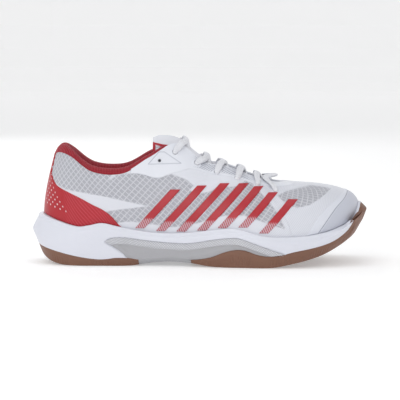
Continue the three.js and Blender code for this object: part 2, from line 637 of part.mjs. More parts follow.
// The frame of the rolled edge at s: the rim point, outward normal and the rib's direction at the rim.
function rimFrame(s) {
  const rim = surface(s, 1);
  const up = rim.clone().sub(surface(s, 0.94)).normalize();
  return { rim, up, out: surfaceNormal(s, 0.97) };
}
function rollPoint({ rim, up, out }, centre, radius, angle) {
  return rim.clone()
    .addScaledVector(out, centre + radius * Math.cos(angle))
    .addScaledVector(up, radius * Math.sin(angle));
}
const FOAM_LOW = 0.66;
const foamRows = [FOAM_LOW, 0.76, 0.86, 0.95];
add(
  "collar_foam",
  strip(collarLoops((s) => {
    const frame = rimFrame(s);
    const radius = collarPad(s) / 2;
    const roll = [90, 135, 180].map((a) => rollPoint(frame, -INNER - radius, radius, (a * Math.PI) / 180));
    const start = rollPoint(frame, -INNER - radius, radius, Math.PI / 4);
    const outer = foamRows.map((t) => offsetPoint(s, t, -INNER));
    const within = (t, share) => offsetPoint(s, t, -INNER - padAt(s, t) * share);
    const inner = [0.97, 0.9, 0.82, 0.74, 0.7, FOAM_LOW].map((t) => within(t, 1));
    return [...outer, start, ...roll.slice(0, 2), ...inner, within(FOAM_LOW, 0.5)];
  })),
  PAD,
);
const LINING_LOW = 0.16;
add(
  "collar_lining",
  strip(collarLoops((s) => {
    const frame = rimFrame(s);
    const outerRadius = (INNER + collarPad(s) + GAP + LINING_WALL) / 2;
    const skinSide = (t) => {
      const k = fromHeel(s);
      const backing = k < 4.6 ? INNER + COUNTER_WALL + 2 * GAP : INNER + GAP;
      return -Math.max(backing, INNER + GAP + (t > FOAM_LOW - 0.05 ? padAt(s, t) : 0));
    };
    const angles = [6, 45, 90, 135, 172].map((a) => (a * Math.PI) / 180);
    const lift = frame.up.clone().multiplyScalar(GAP);
    const roll = (radius) => angles.map((a) => rollPoint(frame, -outerRadius, radius, a).add(lift));
    const rows = [0.92, 0.82, 0.72, 0.62, 0.5, 0.36, LINING_LOW];
    const face = rows.map((t) => offsetPoint(s, t, skinSide(t) - LINING_WALL));
    const back = rows.map((t) => offsetPoint(s, t, skinSide(t)));
    return [...roll(outerRadius), ...face, ...back.reverse(), ...roll(outerRadius - LINING_WALL).reverse()];
  })),
  RED_TEXTILE,
);

// ---------------------------------------------------------------- tongue
const TONGUE = { back: 104, front: 219, hinge: 208 };
const tongueTop = profile([[104, 106], [115, 106], [124, 104], [132, 98.5], [140, 92.5], [150, 86.6],
  [165, 80], [180, 73.8], [195, 68], [208, 64], [219, 63.6]]);
const tongueHalf = profile([[104, 19], [115, 19.5], [126, 20.5], [140, 23.5], [165, 23.5], [180, 21.5],
  [195, 18], [208, 13], [219, 10]]);
const tongueDrop = profile([[104, 17], [126, 20], [150, 19], [165, 16],
  [180, 12], [195, 8], [208, 3], [219, 1.5]]);
const tongueHeight = (x, y) =>
  instepHeight(tongueTop(x)) - tongueDrop(x) * Math.abs(y / (tongueHalf(x) * WIDTH_SCALE)) ** 2;
function tongueLayer(under, thickness) {
  const [columns, across] = [16, 8];
  const loops = Array.from({ length: columns + 1 }, (_, c) => {
    const x = lerp(TONGUE.back, TONGUE.front, c / columns) * SX;
    const half = tongueHalf(x) * WIDTH_SCALE;
    const row = (depth) =>
      Array.from({ length: across + 1 }, (_, i) => {
        const y = lerp(-half, half, i / across);
        return vec(x, y, tongueHeight(x, y) - depth);
      });
    return [...row(under), ...row(under + thickness).reverse()];
  });
  return strip(loops);
}
const FACE = 1.2;
const TONGUE_LINING = 1;
const PLY_GAP = 0.6;
const tongueFoam = TONGUE_PAD - FACE - TONGUE_LINING;
add("tongue_face", tongueLayer(0, FACE), WHITE_TEXTILE);
add("tongue_foam", tongueLayer(FACE + PLY_GAP, tongueFoam), PAD);
add("tongue_lining", tongueLayer(FACE + tongueFoam + 2 * PLY_GAP, TONGUE_LINING), RED_TEXTILE);

// ---------------------------------------------------------------- lace
// One lace, criss-crossed: every strand leaves an eyelet under the eyestay, comes up over the tongue,
// crosses the other strand of its row and enters the next eyelet on the other side from above.
const ROWS = 6; // laced rows; the last eyelet is the spare lock hole
const RADIUS = LACE / 2;
const ABOVE = OVERLAY[1] + RADIUS + 1;
const BELOW = -(UPPER_WALL + RADIUS + 0.5);
const holes = {
  lateral: EYELETS.map((_, i) => eyeletAt(i, -1)),
  medial: EYELETS.map((_, i) => eyeletAt(i, 1)),
};
const holeAt = (sideName, i, depth) => {
  const { centre, out } = holes[sideName][i];
  return centre.clone().addScaledVector(out, depth);
};
// A point by the rim between eyelets i and i + 1, over or under the edge.
function rimSpot(sideName, i, share, depth, t) {
  const [a, b] = [holes[sideName][i], holes[sideName][Math.min(i + 1, ROWS)]];
  return offsetPoint(lerp(a.s, b.s, share), t, depth);
}
// A point of the lace's centre line lying on the tongue.
function rests(x, y, lift) {
  const slope = (dx, dy) => tongueHeight(x + dx, y + dy) - tongueHeight(x - dx, y - dy);
  const out = vec(-slope(0.5, 0), -slope(0, 0.5), 1).normalize();
  return vec(x, y, tongueHeight(x, y) + lift).addScaledVector(out, RADIUS + 0.7);
}
// From inside eyelet i on one side to outside eyelet i + 1 on the other.
function strand(from, to, i, over) {
  const start = rimSpot(from, i, 0.35, BELOW, 0.955);
  const end = rimSpot(to, i, 0.75, ABOVE, 0.985);
  const on = (share, lift) => rests(lerp(start.x, end.x, share), lerp(start.y, end.y, share), lift);
  const rising = on(0.75, 3);
  return [
    holeAt(from, i, BELOW),
    start,
    on(0.13, 0),
    on(0.3, 0),
    on(0.5, over ? LACE + 0.7 : 0),
    rising.setZ(Math.max(rising.z, end.z + 0.8)),
    end,
    holeAt(to, i + 1, ABOVE).lerp(end, 0.3),
    holeAt(to, i + 1, OVERLAY[1] + 0.3),
  ];
}
// The loose end, pushed down between tongue and quarter and laid along the insole.
const TAIL = [[123, 23, 88], [127, 26.4, 77], [131, 30, 62], [134, 30.5, 48], [138, 29, 35], [145, 26, 28.6],
  [157, 24, 26.6], [172, 22, 25.6], [188, 19.5, 25.2], [202, 17.5, 25.2], [213, 16.5, 25.8]];
const TAIL_LIFT = 0.6;
const tail = (sideName) => {
  const laid = TAIL.map(([x, y, z]) => {
    const inset = sideName === "medial" && z < 40 ? 2 : 0;
    return vec(x * SX, SIDE[sideName] * (y - inset) * WIDTH_SCALE, instepHeight(z) + TAIL_LIFT);
  });
  return [holeAt(sideName, ROWS - 1, BELOW), ...laid];
};
const crossings = (first) => {
  const route = [];
  for (let i = 0; i < ROWS - 1; i++) {
    const from = (i % 2 === 0) === (first === "lateral") ? "lateral" : "medial";
    const to = from === "lateral" ? "medial" : "lateral";
    route.push(...strand(from, to, i, from === "lateral"));
  }
  return route;
};
const barSpan = (sideName) => [
  holeAt(sideName, 0, OVERLAY[1] + 0.3),
  holeAt(sideName, 0, ABOVE).lerp(rimSpot(sideName, 0, 0, ABOVE, 0.985), 0.3),
  rimSpot(sideName, 0, 0, ABOVE, 0.97),
];
const [firstLateral, firstMedial] = [holes.lateral[0].centre, holes.medial[0].centre];
const barCentre = vec(firstLateral.x, (firstLateral.y + firstMedial.y) / 2, 0);
barCentre.setZ(rimSpot("lateral", 0, 0, ABOVE, 0.97).z + 0.8);
const tailSide = (first) => {
  if (ROWS % 2) return first;
  return first === "lateral" ? "medial" : "lateral";
};
const halfLace = (first) => [...barSpan(first), ...crossings(first), ...tail(tailSide(first))];
const order = (half) => {
  const [hole, near, rim, ...rest] = half;
  return [rim, near, hole, ...rest];
};
const laceRoute = [
  ...order(halfLace("medial")).reverse(),
  barCentre,
  ...order(halfLace("lateral")),
];

function tube(points, radius, sides, stepsPerPoint) {
  const curve = new THREE.CatmullRomCurve3(points, false, "centripetal");
  const steps = Math.round((points.length - 1) * stepsPerPoint);
  const frames = curve.computeFrenetFrames(steps, false);
  const loops = Array.from({ length: steps + 1 }, (_, k) => {
    const centre = curve.getPointAt(k / steps);
    return Array.from({ length: sides }, (_, i) => {
      const a = (2 * Math.PI * i) / sides;
      return centre.clone()
        .addScaledVector(frames.normals[k], radius * Math.cos(a))
        .addScaledVector(frames.binormals[k], radius * Math.sin(a));
    });
  });
  return skin(loops);
}
const LACE_STEPS = 2.1;
add("lace", tube(laceRoute, RADIUS, 6, LACE_STEPS), LACE_WHITE);
const AGLET = 18;
for (const [near, tip] of [laceRoute.slice(-2), laceRoute.slice(0, 2).reverse()]) {
  const along = tip.clone().sub(near).normalize();
  const start = tip.clone().addScaledVector(along, GAP);
  const end = start.clone().addScaledVector(along, AGLET);
  add(`aglet_${tip.y < 0 ? "lateral" : "medial"}`, tube([start, end], RADIUS * 0.9, 8, 2), CLEAR);
}
const box = new THREE.Box3().setFromObject(shoe);
shoe.position.set(-(box.min.x + box.max.x) / 2, -(box.min.y + box.max.y) / 2, -box.min.z);
const model = new THREE.Group();
model.add(shoe);
export default model;
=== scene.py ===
import bmesh
import bpy
import numpy as np
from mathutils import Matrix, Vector


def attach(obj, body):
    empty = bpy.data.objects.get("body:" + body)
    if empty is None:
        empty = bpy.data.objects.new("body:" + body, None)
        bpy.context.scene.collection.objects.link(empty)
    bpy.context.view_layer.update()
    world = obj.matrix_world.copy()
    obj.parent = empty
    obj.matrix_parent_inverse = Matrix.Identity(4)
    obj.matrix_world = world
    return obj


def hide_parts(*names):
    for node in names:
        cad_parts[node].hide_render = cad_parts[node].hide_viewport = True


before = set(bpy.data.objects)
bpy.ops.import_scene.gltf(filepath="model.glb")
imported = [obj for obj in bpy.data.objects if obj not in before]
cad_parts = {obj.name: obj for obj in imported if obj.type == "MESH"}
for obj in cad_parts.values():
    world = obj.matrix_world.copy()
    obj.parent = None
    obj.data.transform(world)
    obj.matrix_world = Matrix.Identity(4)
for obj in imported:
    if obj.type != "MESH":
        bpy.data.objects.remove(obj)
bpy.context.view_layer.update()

# Camera: square on to the outer side, a little above the floor, far enough away that the view has
# almost no perspective. The shoe fills most of the width.
camera = bpy.data.objects.new("camera", bpy.data.cameras.new("camera"))
bpy.context.collection.objects.link(camera)
camera.data.lens = 200
view_distance = 0.3400 / 36 * camera.data.lens
view_tilt = np.radians(5)
camera.location = (0.0002, -view_distance * np.cos(view_tilt), 0.0525 + view_distance * np.sin(view_tilt))
camera.rotation_euler = (np.pi / 2 - view_tilt, 0, 0)
camera.data.clip_end = 20
bpy.context.scene.camera = camera


# Studio: a wide white floor whose edge curves up into a white wall all round, one large soft light
# overhead, one from each side and a pale world, so that shadows stay light.
shoe_middle = (0, 0, 0.05)


def studio_light(name, place, size, power):
    """Round soft light of a diameter (m) and power (W), aimed at the middle of the shoe."""
    lamp = bpy.data.objects.new(name, bpy.data.lights.new(name, "AREA"))
    lamp.data.shape = "DISK"
    lamp.data.size = size
    lamp.data.energy = power
    lamp.location = place
    lamp.rotation_euler = (Vector(place) - Vector(shoe_middle)).to_track_quat("Z", "Y").to_euler()
    bpy.context.collection.objects.link(lamp)


studio_light("overhead", (-0.15, -0.1, 1.3), 1.1, 4.2)
studio_light("near_fill", (-0.5, -1.5, 0.8), 1.0, 4.0)
studio_light("far_fill", (-0.4, 1.5, 0.8), 1.0, 3.2)
world = bpy.data.worlds.new("studio")
world.use_nodes = True
world.node_tree.nodes["Background"].inputs["Color"].default_value = (0.96, 0.97, 1, 1)
world.node_tree.nodes["Background"].inputs["Strength"].default_value = 0.35
bpy.context.scene.world = world
bpy.context.scene.view_settings.view_transform = "Standard"

flat_radius, curve_radius, wall_height, sides_round = 3.5, 0.8, 5.0, 64
turn = np.radians(np.linspace(0, 360, sides_round + 1))[:-1]
rise = np.radians(np.linspace(0, 90, 13))
profile_r = np.r_[0.01, flat_radius + curve_radius * np.sin(rise), flat_radius + curve_radius]
profile_z = np.r_[0.0, curve_radius - curve_radius * np.cos(rise), wall_height]
bowl = np.stack([np.outer(profile_r, np.cos(turn)), np.outer(profile_r, np.sin(turn)),
                 np.repeat(profile_z[:, None], sides_round, 1)], -1).reshape(-1, 3)
ring_steps = [(c, (c + 1) % sides_round) for c in range(sides_round)]
bowl_faces = [(low + c, low + sides_round + c, low + sides_round + after, low + after)
              for low in range(0, (len(profile_r) - 1) * sides_round, sides_round)
              for c, after in ring_steps]
floor_mesh = bpy.data.meshes.new("floor")
floor_mesh.from_pydata(bowl.tolist(), [], [tuple(range(sides_round))] + bowl_faces)
floor = bpy.data.objects.new("floor", floor_mesh)
bpy.context.collection.objects.link(floor)
paper = bpy.data.materials.new("white_paper")
paper.use_nodes = True
paper_shader = paper.node_tree.nodes["Principled BSDF"].inputs
paper_shader["Base Color"].default_value = (0.8, 0.8, 0.8, 1)
paper_shader["Roughness"].default_value = 0.9
paper_shader["Emission Color"].default_value = (1, 1, 1, 1)
paper_shader["Emission Strength"].default_value = 0.3
floor_mesh.materials.append(paper)


# The foot form. Every rib of the upper is a cubic curve from the edge of the insole board to the
# rim, and the ribs are joined round the shoe by smooth closed curves through the stations.
def through(*pairs):
    """Smooth curve of a value along the shoe: cubics through the pairs, slopes from the neighbours."""
    xs, ys = np.array(pairs, float).T
    before = np.maximum(np.arange(len(xs)) - 1, 0)
    after = np.minimum(np.arange(len(xs)) + 1, len(xs) - 1)
    slope = (ys[after] - ys[before]) / (xs[after] - xs[before])

    def curve(x):
        x = np.clip(x, xs[0], xs[-1])
        i = np.clip(np.searchsorted(xs, x, side="right") - 1, 0, len(xs) - 2)
        h = xs[i + 1] - xs[i]
        t = (x - xs[i]) / h
        return (
            (2 * t**3 - 3 * t**2 + 1) * ys[i]
            + (t**3 - 2 * t**2 + t) * h * slope[i]
            + (3 * t**2 - 2 * t**3) * ys[i + 1]
            + (t**3 - t**2) * h * slope[i + 1]
        )

    return curve


foot_bed = through(
    (13, 27), (40, 25), (80, 23), (120, 20), (160, 17.5), (200, 16.4), (220, 17.4), (240, 21),
    (258, 26.5), (270, 33.5), (280, 38),
)
# foot x, outer half width, inner half width; rim x, outer, inner, height; how far the lower and the
# upper control points stand out and rise or drop
stations = np.array([
    (13, 0, 0, 20.5, 0, 0, 92.5, 6, 18, 4, 16),
    (19, 17, 16.5, 24, 11, 11, 96.8, 6, 18, 6, 18),
    (38, 29, 27.5, 34.5, 21, 21, 93, 5, 18, 9, 16),
    (62, 31, 29, 53, 29, 29, 79.8, 5, 16, 6, 14),
    (88, 31.5, 27.5, 78, 30.5, 31, 78.2, 5, 16, 4, 14),
    (112, 34, 29, 100.5, 27, 28.5, 90.8, 5, 20, 7, 18),
    (136, 38.5, 33, 124, 19, 20.5, 102, 5, 24, 12, 17),
    (160, 44, 39, 146, 17, 18.5, 86, 5, 24, 14, 6),
    (184, 48, 43.5, 165, 16.5, 18, 82, 5, 24, 15, 5),
    (208, 49.5, 45.5, 183, 14.5, 16.5, 75, 5, 24, 16, 4),
    (232, 46, 43.5, 198, 11.5, 14, 69.6, 6, 24, 18, 2.5),
    (253, 35, 37.5, 207.5, 7, 10, 67.8, 11, 26, 25, 1),
    (267, 18, 25, 211.5, 1.5, 5.5, 67.6, 16, 28, 33, 0),
    (272, 4, 4, 212.5, 2, 2, 67.6, 20, 29, 38, 0),
])
last_station = len(stations) - 1
round_shoe = 2 * last_station
order = np.r_[0 : last_station + 1, last_station - 1 : 0 : -1]
outer_side = np.arange(round_shoe) <= last_station
rows = stations[order]
tip = np.arange(round_shoe) == last_station


def on_ring(ring, s):
    """Point of a closed smooth curve through the ring's points; s counts the points."""
    i = np.floor(s).astype(int)
    t = (s - i)[..., None]
    a, b, c, d = (ring[(i + k) % len(ring)] for k in (-1, 0, 1, 2))
    return 0.5 * (2 * b + (c - a) * t + (2 * a - 5 * b + 4 * c - d) * t**2 + (3 * b - a - 3 * c + d) * t**3)


foot_ring = np.stack(
    [rows[:, 0], np.where(outer_side & ~tip, -rows[:, 1], rows[:, 2]), foot_bed(rows[:, 0])], -1)
rim_ring = np.stack([rows[:, 3], np.where(outer_side & ~tip, -rows[:, 4], rows[:, 5]), rows[:, 6]], -1)


def outward(s):
    """Level normal of the foot's outline, pointing out of the shoe."""
    step = on_ring(foot_ring, s + 0.05) - on_ring(foot_ring, s - 0.05)
    level = np.stack([step[..., 1], -step[..., 0], 0 * step[..., 0]], -1)
    return level / np.linalg.norm(level, axis=-1, keepdims=True)


every = np.arange(round_shoe)
low_ring = foot_ring + outward(every) * rows[:, 7:8] + np.array((0, 0, 1)) * rows[:, 8:9]
high_ring = rim_ring + outward(every) * rows[:, 9:10] - np.array((0, 0, 1)) * rows[:, 10:11]


def upper(s, t):
    """Point of the upper's outer face: s stations round the shoe, t from the board to the rim."""
    s, t = np.broadcast_arrays(np.asarray(s, float), np.asarray(t, float))
    u, v = (1 - t)[..., None], t[..., None]
    return (
        on_ring(foot_ring, s) * u**3
        + on_ring(low_ring, s) * 3 * u**2 * v
        + on_ring(high_ring, s) * 3 * u * v**2
        + on_ring(rim_ring, s) * v**3
    )


def upper_normal(s, t):
    """Outward unit normal of the upper, from small steps along and up the ribs."""
    s, t = np.broadcast_arrays(np.asarray(s, float), np.asarray(t, float))
    along = upper(s + 0.04, t) - upper(s - 0.04, t)
    up = upper(s, np.minimum(1, t + 0.02)) - upper(s, np.maximum(0, t - 0.02))
    n = np.cross(along, up)
    return n / np.linalg.norm(n, axis=-1, keepdims=True)


def off_upper(s, t, out):
    """Point at a distance out of the upper's face."""
    return upper(s, t) + upper_normal(s, t) * np.asarray(out)[..., None]


def height_on_rib(s, height, top=0.98):
    """t at which the rib reaches height(x), by halving."""
    low, high = np.zeros_like(s, float), np.full_like(s, top, float)
    for _ in range(22):
        middle = (low + high) / 2
        p = upper(s, middle)
        under = p[..., 2] < height(p[..., 0])
        low, high = np.where(under, middle, low), np.where(under, high, middle)
    return low


def place_on_side(x, z, side, s_guess):
    """(s, t) of the upper's point with this x and z, on the side -1 (outer) or 1, by Newton steps."""
    s = np.where(side < 0, s_guess, round_shoe - s_guess) + 0 * x
    t = 0.5 + 0 * x
    for _ in range(30):
        p = upper(s, t)
        ps = (upper(s + 0.01, t) - p) / 0.01
        pt = (upper(s, t + 0.005) - p) / 0.005
        det = ps[..., 0] * pt[..., 2] - pt[..., 0] * ps[..., 2]
        ex, ez = x - p[..., 0], z - p[..., 2]
        s = s + np.clip((ex * pt[..., 2] - pt[..., 0] * ez) / det, -0.5, 0.5)
        t = np.clip(t + np.clip((ps[..., 0] * ez - ps[..., 2] * ex) / det, -0.1, 0.1), 0, 1)
    return s, t


# Making a piece. The form is in millimetres from the back of the heel; the frame is in metres from
# the middle of the footprint.
heel_to_frame = np.array((-142.65, 1.997, 0.194))


def grid_faces(rows, columns, start=0, round_rows=False, round_columns=False):
    """Four-cornered faces of a grid of points numbered row by row."""
    r = np.arange(rows if round_rows else rows - 1)
    c = np.arange(columns if round_columns else columns - 1)
    r, c = (v.ravel() for v in np.meshgrid(r, c, indexing="ij"))
    r2, c2 = (r + 1) % rows, (c + 1) % columns
    return start + np.stack([r * columns + c, r2 * columns + c, r2 * columns + c2, r * columns + c2], -1)


def make_piece(name, points, faces, finishes, body="shoe", flat=None, marks=None, weld=False):
    """Mesh object from points and faces; flat is each point's place on the unrolled surface, in mm,
    and marks are named values at the points."""
    mesh = bpy.data.meshes.new(name)
    mesh.vertices.add(len(points))
    mesh.vertices.foreach_set("co", ((points + heel_to_frame) * 0.001).astype(np.float32).ravel())
    mesh.loops.add(faces.size)
    mesh.loops.foreach_set("vertex_index", faces.astype(np.int32).ravel())
    mesh.polygons.add(len(faces))
    mesh.polygons.foreach_set("loop_start", np.arange(0, faces.size, 4, dtype=np.int32))
    mesh.polygons.foreach_set("use_smooth", np.ones(len(faces), bool))
    mesh.update(calc_edges=True)
    if flat is not None:
        layer = mesh.uv_layers.new(name="flat")
        layer.data.foreach_set("uv", flat[faces.ravel()].astype(np.float32).ravel())
    for mark, values in (marks or {}).items():
        mesh.attributes.new(mark, "FLOAT", "POINT").data.foreach_set("value", values.astype(np.float32))
    mesh.validate()
    piece = bpy.data.objects.new(name, mesh)
    bpy.context.collection.objects.link(piece)
    if weld:
        shape = bmesh.new()
        shape.from_mesh(mesh)
        bmesh.ops.remove_doubles(shape, verts=shape.verts, dist=2e-6)
        bmesh.ops.recalc_face_normals(shape, faces=shape.faces)
        shape.to_mesh(mesh)
        shape.free()
    for material in finishes:
        mesh.materials.append(material)
    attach(piece, body)
    return piece


def two_faced(outer, inner):
    """Closed thin piece: an outer and an inner grid of the same size, joined along their borders."""
    rows, columns = outer.shape[:2]
    number = np.arange(rows * columns).reshape(rows, columns)
    border = np.r_[number[0, :], number[1:-1, -1], number[-1, ::-1], number[-2:0:-1, 0]]
    onward = np.roll(border, -1)
    edge = np.stack([border, onward, onward + rows * columns, border + rows * columns], -1)
    faces = grid_faces(rows, columns)
    points = np.concatenate([outer.reshape(-1, 3), inner.reshape(-1, 3)])
    return points, np.concatenate([faces, faces[:, ::-1] + rows * columns, edge])


def unrolled(grid):
    """Distance in mm along the middle row and up the columns of a grid of points: its flat plan."""
    middle = grid[:, grid.shape[1] // 2]
    along = np.r_[0, np.cumsum(np.linalg.norm(np.diff(middle, axis=0), axis=1))]
    up = np.cumsum(np.linalg.norm(np.diff(grid, axis=1), axis=2), axis=1)
    up = np.concatenate([np.zeros((len(grid), 1)), up], 1)
    return np.stack([np.broadcast_to(along[:, None], up.shape), up], -1).reshape(-1, 2)


# Finishes are node materials. These small functions make and wire their nodes.
def srgb(code):
    """Linear colour of a #rrggbb code."""
    c = np.array([int(code[i : i + 2], 16) / 255 for i in (1, 3, 5)])
    return (*np.where(c <= 0.04045, c / 12.92, ((c + 0.055) / 1.055) ** 2.4), 1)


def finish(name, roughness, **sockets):
    """New material with constant sockets set on its shader."""
    material = bpy.data.materials.new(name)
    material.use_nodes = True
    shader = material.node_tree.nodes["Principled BSDF"]
    shader.inputs["Roughness"].default_value = roughness
    for socket, value in sockets.items():
        shader.inputs[socket.replace("_", " ")].default_value = value
    return material


def add_node(material, kind, inputs=(), **settings):
    """New node with its inputs, given by number or name, set to values or joined to other nodes."""
    made = material.node_tree.nodes.new("ShaderNode" + kind)
    for setting, value in settings.items():
        setattr(made, setting, value)
    for socket, value in dict(inputs).items():
        if isinstance(value, bpy.types.NodeSocket):
            material.node_tree.links.new(value, made.inputs[socket])
        else:
            made.inputs[socket].default_value = value
    return made


def sum_of(material, operation, a, b=0.0, c=0.0):
    """Result of one arithmetic operation on values or sockets."""
    return add_node(material, "Math", {0: a, 1: b, 2: c}, operation=operation).outputs[0]


def step_between(material, value, low, high):
    """0 below low, 1 above high, smooth between."""
    made = add_node(material, "MapRange", {0: value, 1: low, 2: high}, interpolation_type="SMOOTHSTEP")
    return made.outputs[0]


def mixed(material, share, a, b):
    """Colour from a at share 0 to b at share 1."""
    made = add_node(material, "Mix", {0: share, 6: a, 7: b}, data_type="RGBA")
    return made.outputs[2]


def noise(material, scale, detail=3, stretch=None):
    """Noise fixed to the piece, with scale cells to a metre."""
    place = add_node(material, "TexCoord").outputs["Object"]
    if stretch:
        place = add_node(material, "Mapping", {0: place, 3: stretch}).outputs[0]
    return add_node(material, "TexNoise", {"Vector": place, "Scale": scale, "Detail": detail}).outputs[0]


def flat_plan(material):
    """The two coordinates, in mm, of the piece's flat plan."""
    plan = add_node(material, "UVMap", uv_map="flat").outputs[0]
    parts = add_node(material, "SeparateXYZ", {0: plan})
    return parts.outputs[0], parts.outputs[1]


def mark_of(material, name):
    """Value of a piece's named mark."""
    return add_node(material, "Attribute", attribute_name=name).outputs["Fac"]


def bumped(material, height, distance, strength=1.0):
    """Wires a height in units of distance (m) into the shader's normal."""
    made = add_node(material, "Bump", {"Height": height, "Distance": distance, "Strength": strength})
    shader = material.node_tree.nodes["Principled BSDF"]
    material.node_tree.links.new(made.outputs[0], shader.inputs["Normal"])


def coloured(material, colour):
    """Wires a colour into the shader."""
    shader = material.node_tree.nodes["Principled BSDF"]
    material.node_tree.links.new(colour, shader.inputs["Base Color"])


# Outsole: matt gum rubber in two pieces, under the heel and under the forefoot. The forefoot piece
# climbs over the toe. The tread is cut by cross grooves and fine ribs, and its walls are ribbed.
ground = through(
    (3, 16.5), (8, 10.5), (13, 5.5), (20, 2), (28, 0.3), (35, 0), (60, 0), (84, 0), (100, 2.2),
    (118, 3.6), (134, 2.8), (150, 0.6), (162, 0), (180, 0), (198, 0), (207, 0.8), (220, 3.4),
    (230, 5.6), (245, 10), (257, 15.4), (266, 20.5), (275, 27), (282, 36), (285, 44),
)
gum_top = through(
    (0, 18.6), (4, 17.3), (13, 14.3), (27, 10.7), (42, 7.6), (57, 5.6), (65, 5.9), (72, 6.8),
    (82, 6.6), (92, 5.6), (130, 5.6), (140, 6), (152, 8.4), (162, 12.4), (172, 14.9), (180, 14.5),
    (190, 11.2), (200, 9.7), (210, 10.8), (220, 13.4), (235, 16.3), (245, 18.6), (255, 22.2),
    (264, 28), (270, 34.5), (275, 45), (280, 52), (285, 54),
)
foam_crease = through(
    (0, 29), (9, 24.8), (20, 20.8), (31, 17.5), (42, 14.2), (52, 12), (63, 10.6), (77, 10),
    (110, 11.5), (140, 13), (172, 20.5), (186, 22), (200, 21.5), (215, 20.6), (235, 20), (250, 24),
    (262, 30.5), (270, 36.5), (276, 41), (285, 45.5),
)
foam_top = through(
    (0, 41.5), (7, 41.5), (12, 41.4), (24, 37.1), (41, 32.5), (50, 33.6), (61, 35.5), (75, 32.5),
    (88, 30), (109, 27.5), (134, 28.2), (156, 31), (172, 32.1), (186, 28.6), (196, 26.1),
    (210, 25.1), (224, 25.6), (235, 26.5), (250, 29.4), (262, 33.5), (268, 35.8), (272, 40.5),
    (275, 47), (277.5, 51.5), (285, 54),
)
crease_out = through((13, 12.7), (22, 10.5), (38, 8.5), (62, 7.5), (110, 6), (160, 6.5), (208, 7.5),
                     (240, 9), (258, 11), (272, 13))
lower_out = through((13, 8.6), (38, 6.8), (62, 6.2), (110, 4), (160, 5.5), (208, 6.5), (240, 7),
                    (258, 7.4), (272, 11))
bottom_out = through((13, 5), (38, 4.2), (62, 4.2), (110, 0.5), (160, 3.4), (208, 4.4), (240, 3.4),
                     (258, 2.5), (272, 5))
lip_wall = through((13, 3.8), (38, 3), (110, 2.8), (208, 3), (250, 3.8), (264, 3.2), (272, 2.2))


def wall_line(s, out, height):
    """One level line of the sole's wall: the foot's outline pushed out, at a height set by x."""
    edge = on_ring(foot_ring, s)
    p = edge + outward(s) * out(edge[..., 0])[..., None]
    p[..., 2] = height(p[..., 0])
    return p


def lip_line(s, out):
    """The foam's top edge: where the upper reaches the top line, pushed out of it."""
    t = height_on_rib(s, foam_top)
    p = upper(s, t)
    top = foam_top(p[..., 0])
    p = p + outward(s) * np.asarray(out)[..., None]
    p[..., 2] = top
    return p


def lower_height(x):
    """Height of the corner below the crease: a share of the way up to it."""
    return np.maximum(ground(x) + (foam_crease(x) - ground(x)) * 0.38, ground(x) + 0.4)


def crease_height(x):
    """Height of the crease, kept above the ground line where the toe springs up."""
    return np.maximum(foam_crease(x), ground(x) + 1)


def sole_wall(s):
    """The four lines that shape the sole's wall at stations s: floor, lower, crease and lip."""
    edge_x = on_ring(foot_ring, s)[..., 0]
    return np.stack([
        wall_line(s, bottom_out, ground),
        wall_line(s, lower_out, lower_height),
        wall_line(s, crease_out, crease_height),
        lip_line(s, 0.8 + lip_wall(edge_x)),
    ], 1)


def up_the_wall(lines, share):
    """Wall points at shares 0 to 1 of the height between the four lines: straight runs whose corners
    are rounded by blending neighbouring runs."""
    position = np.clip(share * 3, 0, 3)
    total = 0
    weight_sum = 0
    for shift, weight in ((-0.14, 0.25), (0, 0.5), (0.14, 0.25)):
        q = np.clip(position + shift * np.minimum(1, np.minimum(position, 3 - position) * 4), 0, 3)
        i = np.clip(q.astype(int), 0, 2)
        f = (q - i)[..., None]
        column = np.arange(len(lines))[:, None]
        total = total + weight * (lines[column, i] * (1 - f) + lines[column, i + 1] * f)
        weight_sum += weight
    return total / weight_sum


def share_at_height(lines, height):
    """Share up the wall at which it reaches height(x), by halving."""
    low, high = np.zeros((len(lines), 1)), np.ones((len(lines), 1))
    for _ in range(24):
        middle = (low + high) / 2
        p = up_the_wall(lines, middle)
        under = p[..., 2] < height(p[..., 0])
        low, high = np.where(under, middle, low), np.where(under, high, middle)
    return low


def across_floor(edge, shares, height):
    """Rows from the wall's foot to the centre line: each point moves towards its mate on the other
    side, at a height set by x and y. Both halves of the row meet on the centre line."""
    mate = edge[::-1]
    middle = (edge + mate) / 2
    rows = edge[:, None] * (1 - shares)[None, :, None] + middle[:, None] * shares[None, :, None]
    rows[..., 2] = height(rows[..., 0], rows[..., 1])
    return rows


def ribs_along(n, first, last):
    """Stations for n ribs from first to last, symmetric about the toe or the heel."""
    return np.linspace(first, last, n)


# x of each cross groove of the tread and its width
grooves = ((46, 3), (62, 3), (178, 6), (198, 4), (222, 5), (242, 4), (258, 5))
groove_depth, herringbone_depth, floor_thickness = 1.8, 0.9, 4.2


def tread_depth(x, y):
    """How far the tread rises above the ground line: deep cross grooves with a fine herringbone."""
    deep = 0 * x
    for place, width in grooves:
        deep = np.maximum(deep, groove_depth * (np.abs(x - place - 0.0012 * y**2) < width / 2))
    wave = np.abs(((x + np.abs(((y + 200) % 16) - 8) * 0.8) / 4.4) % 1 - 0.5) * 2
    return np.maximum(deep, herringbone_depth * (wave > 0.62))


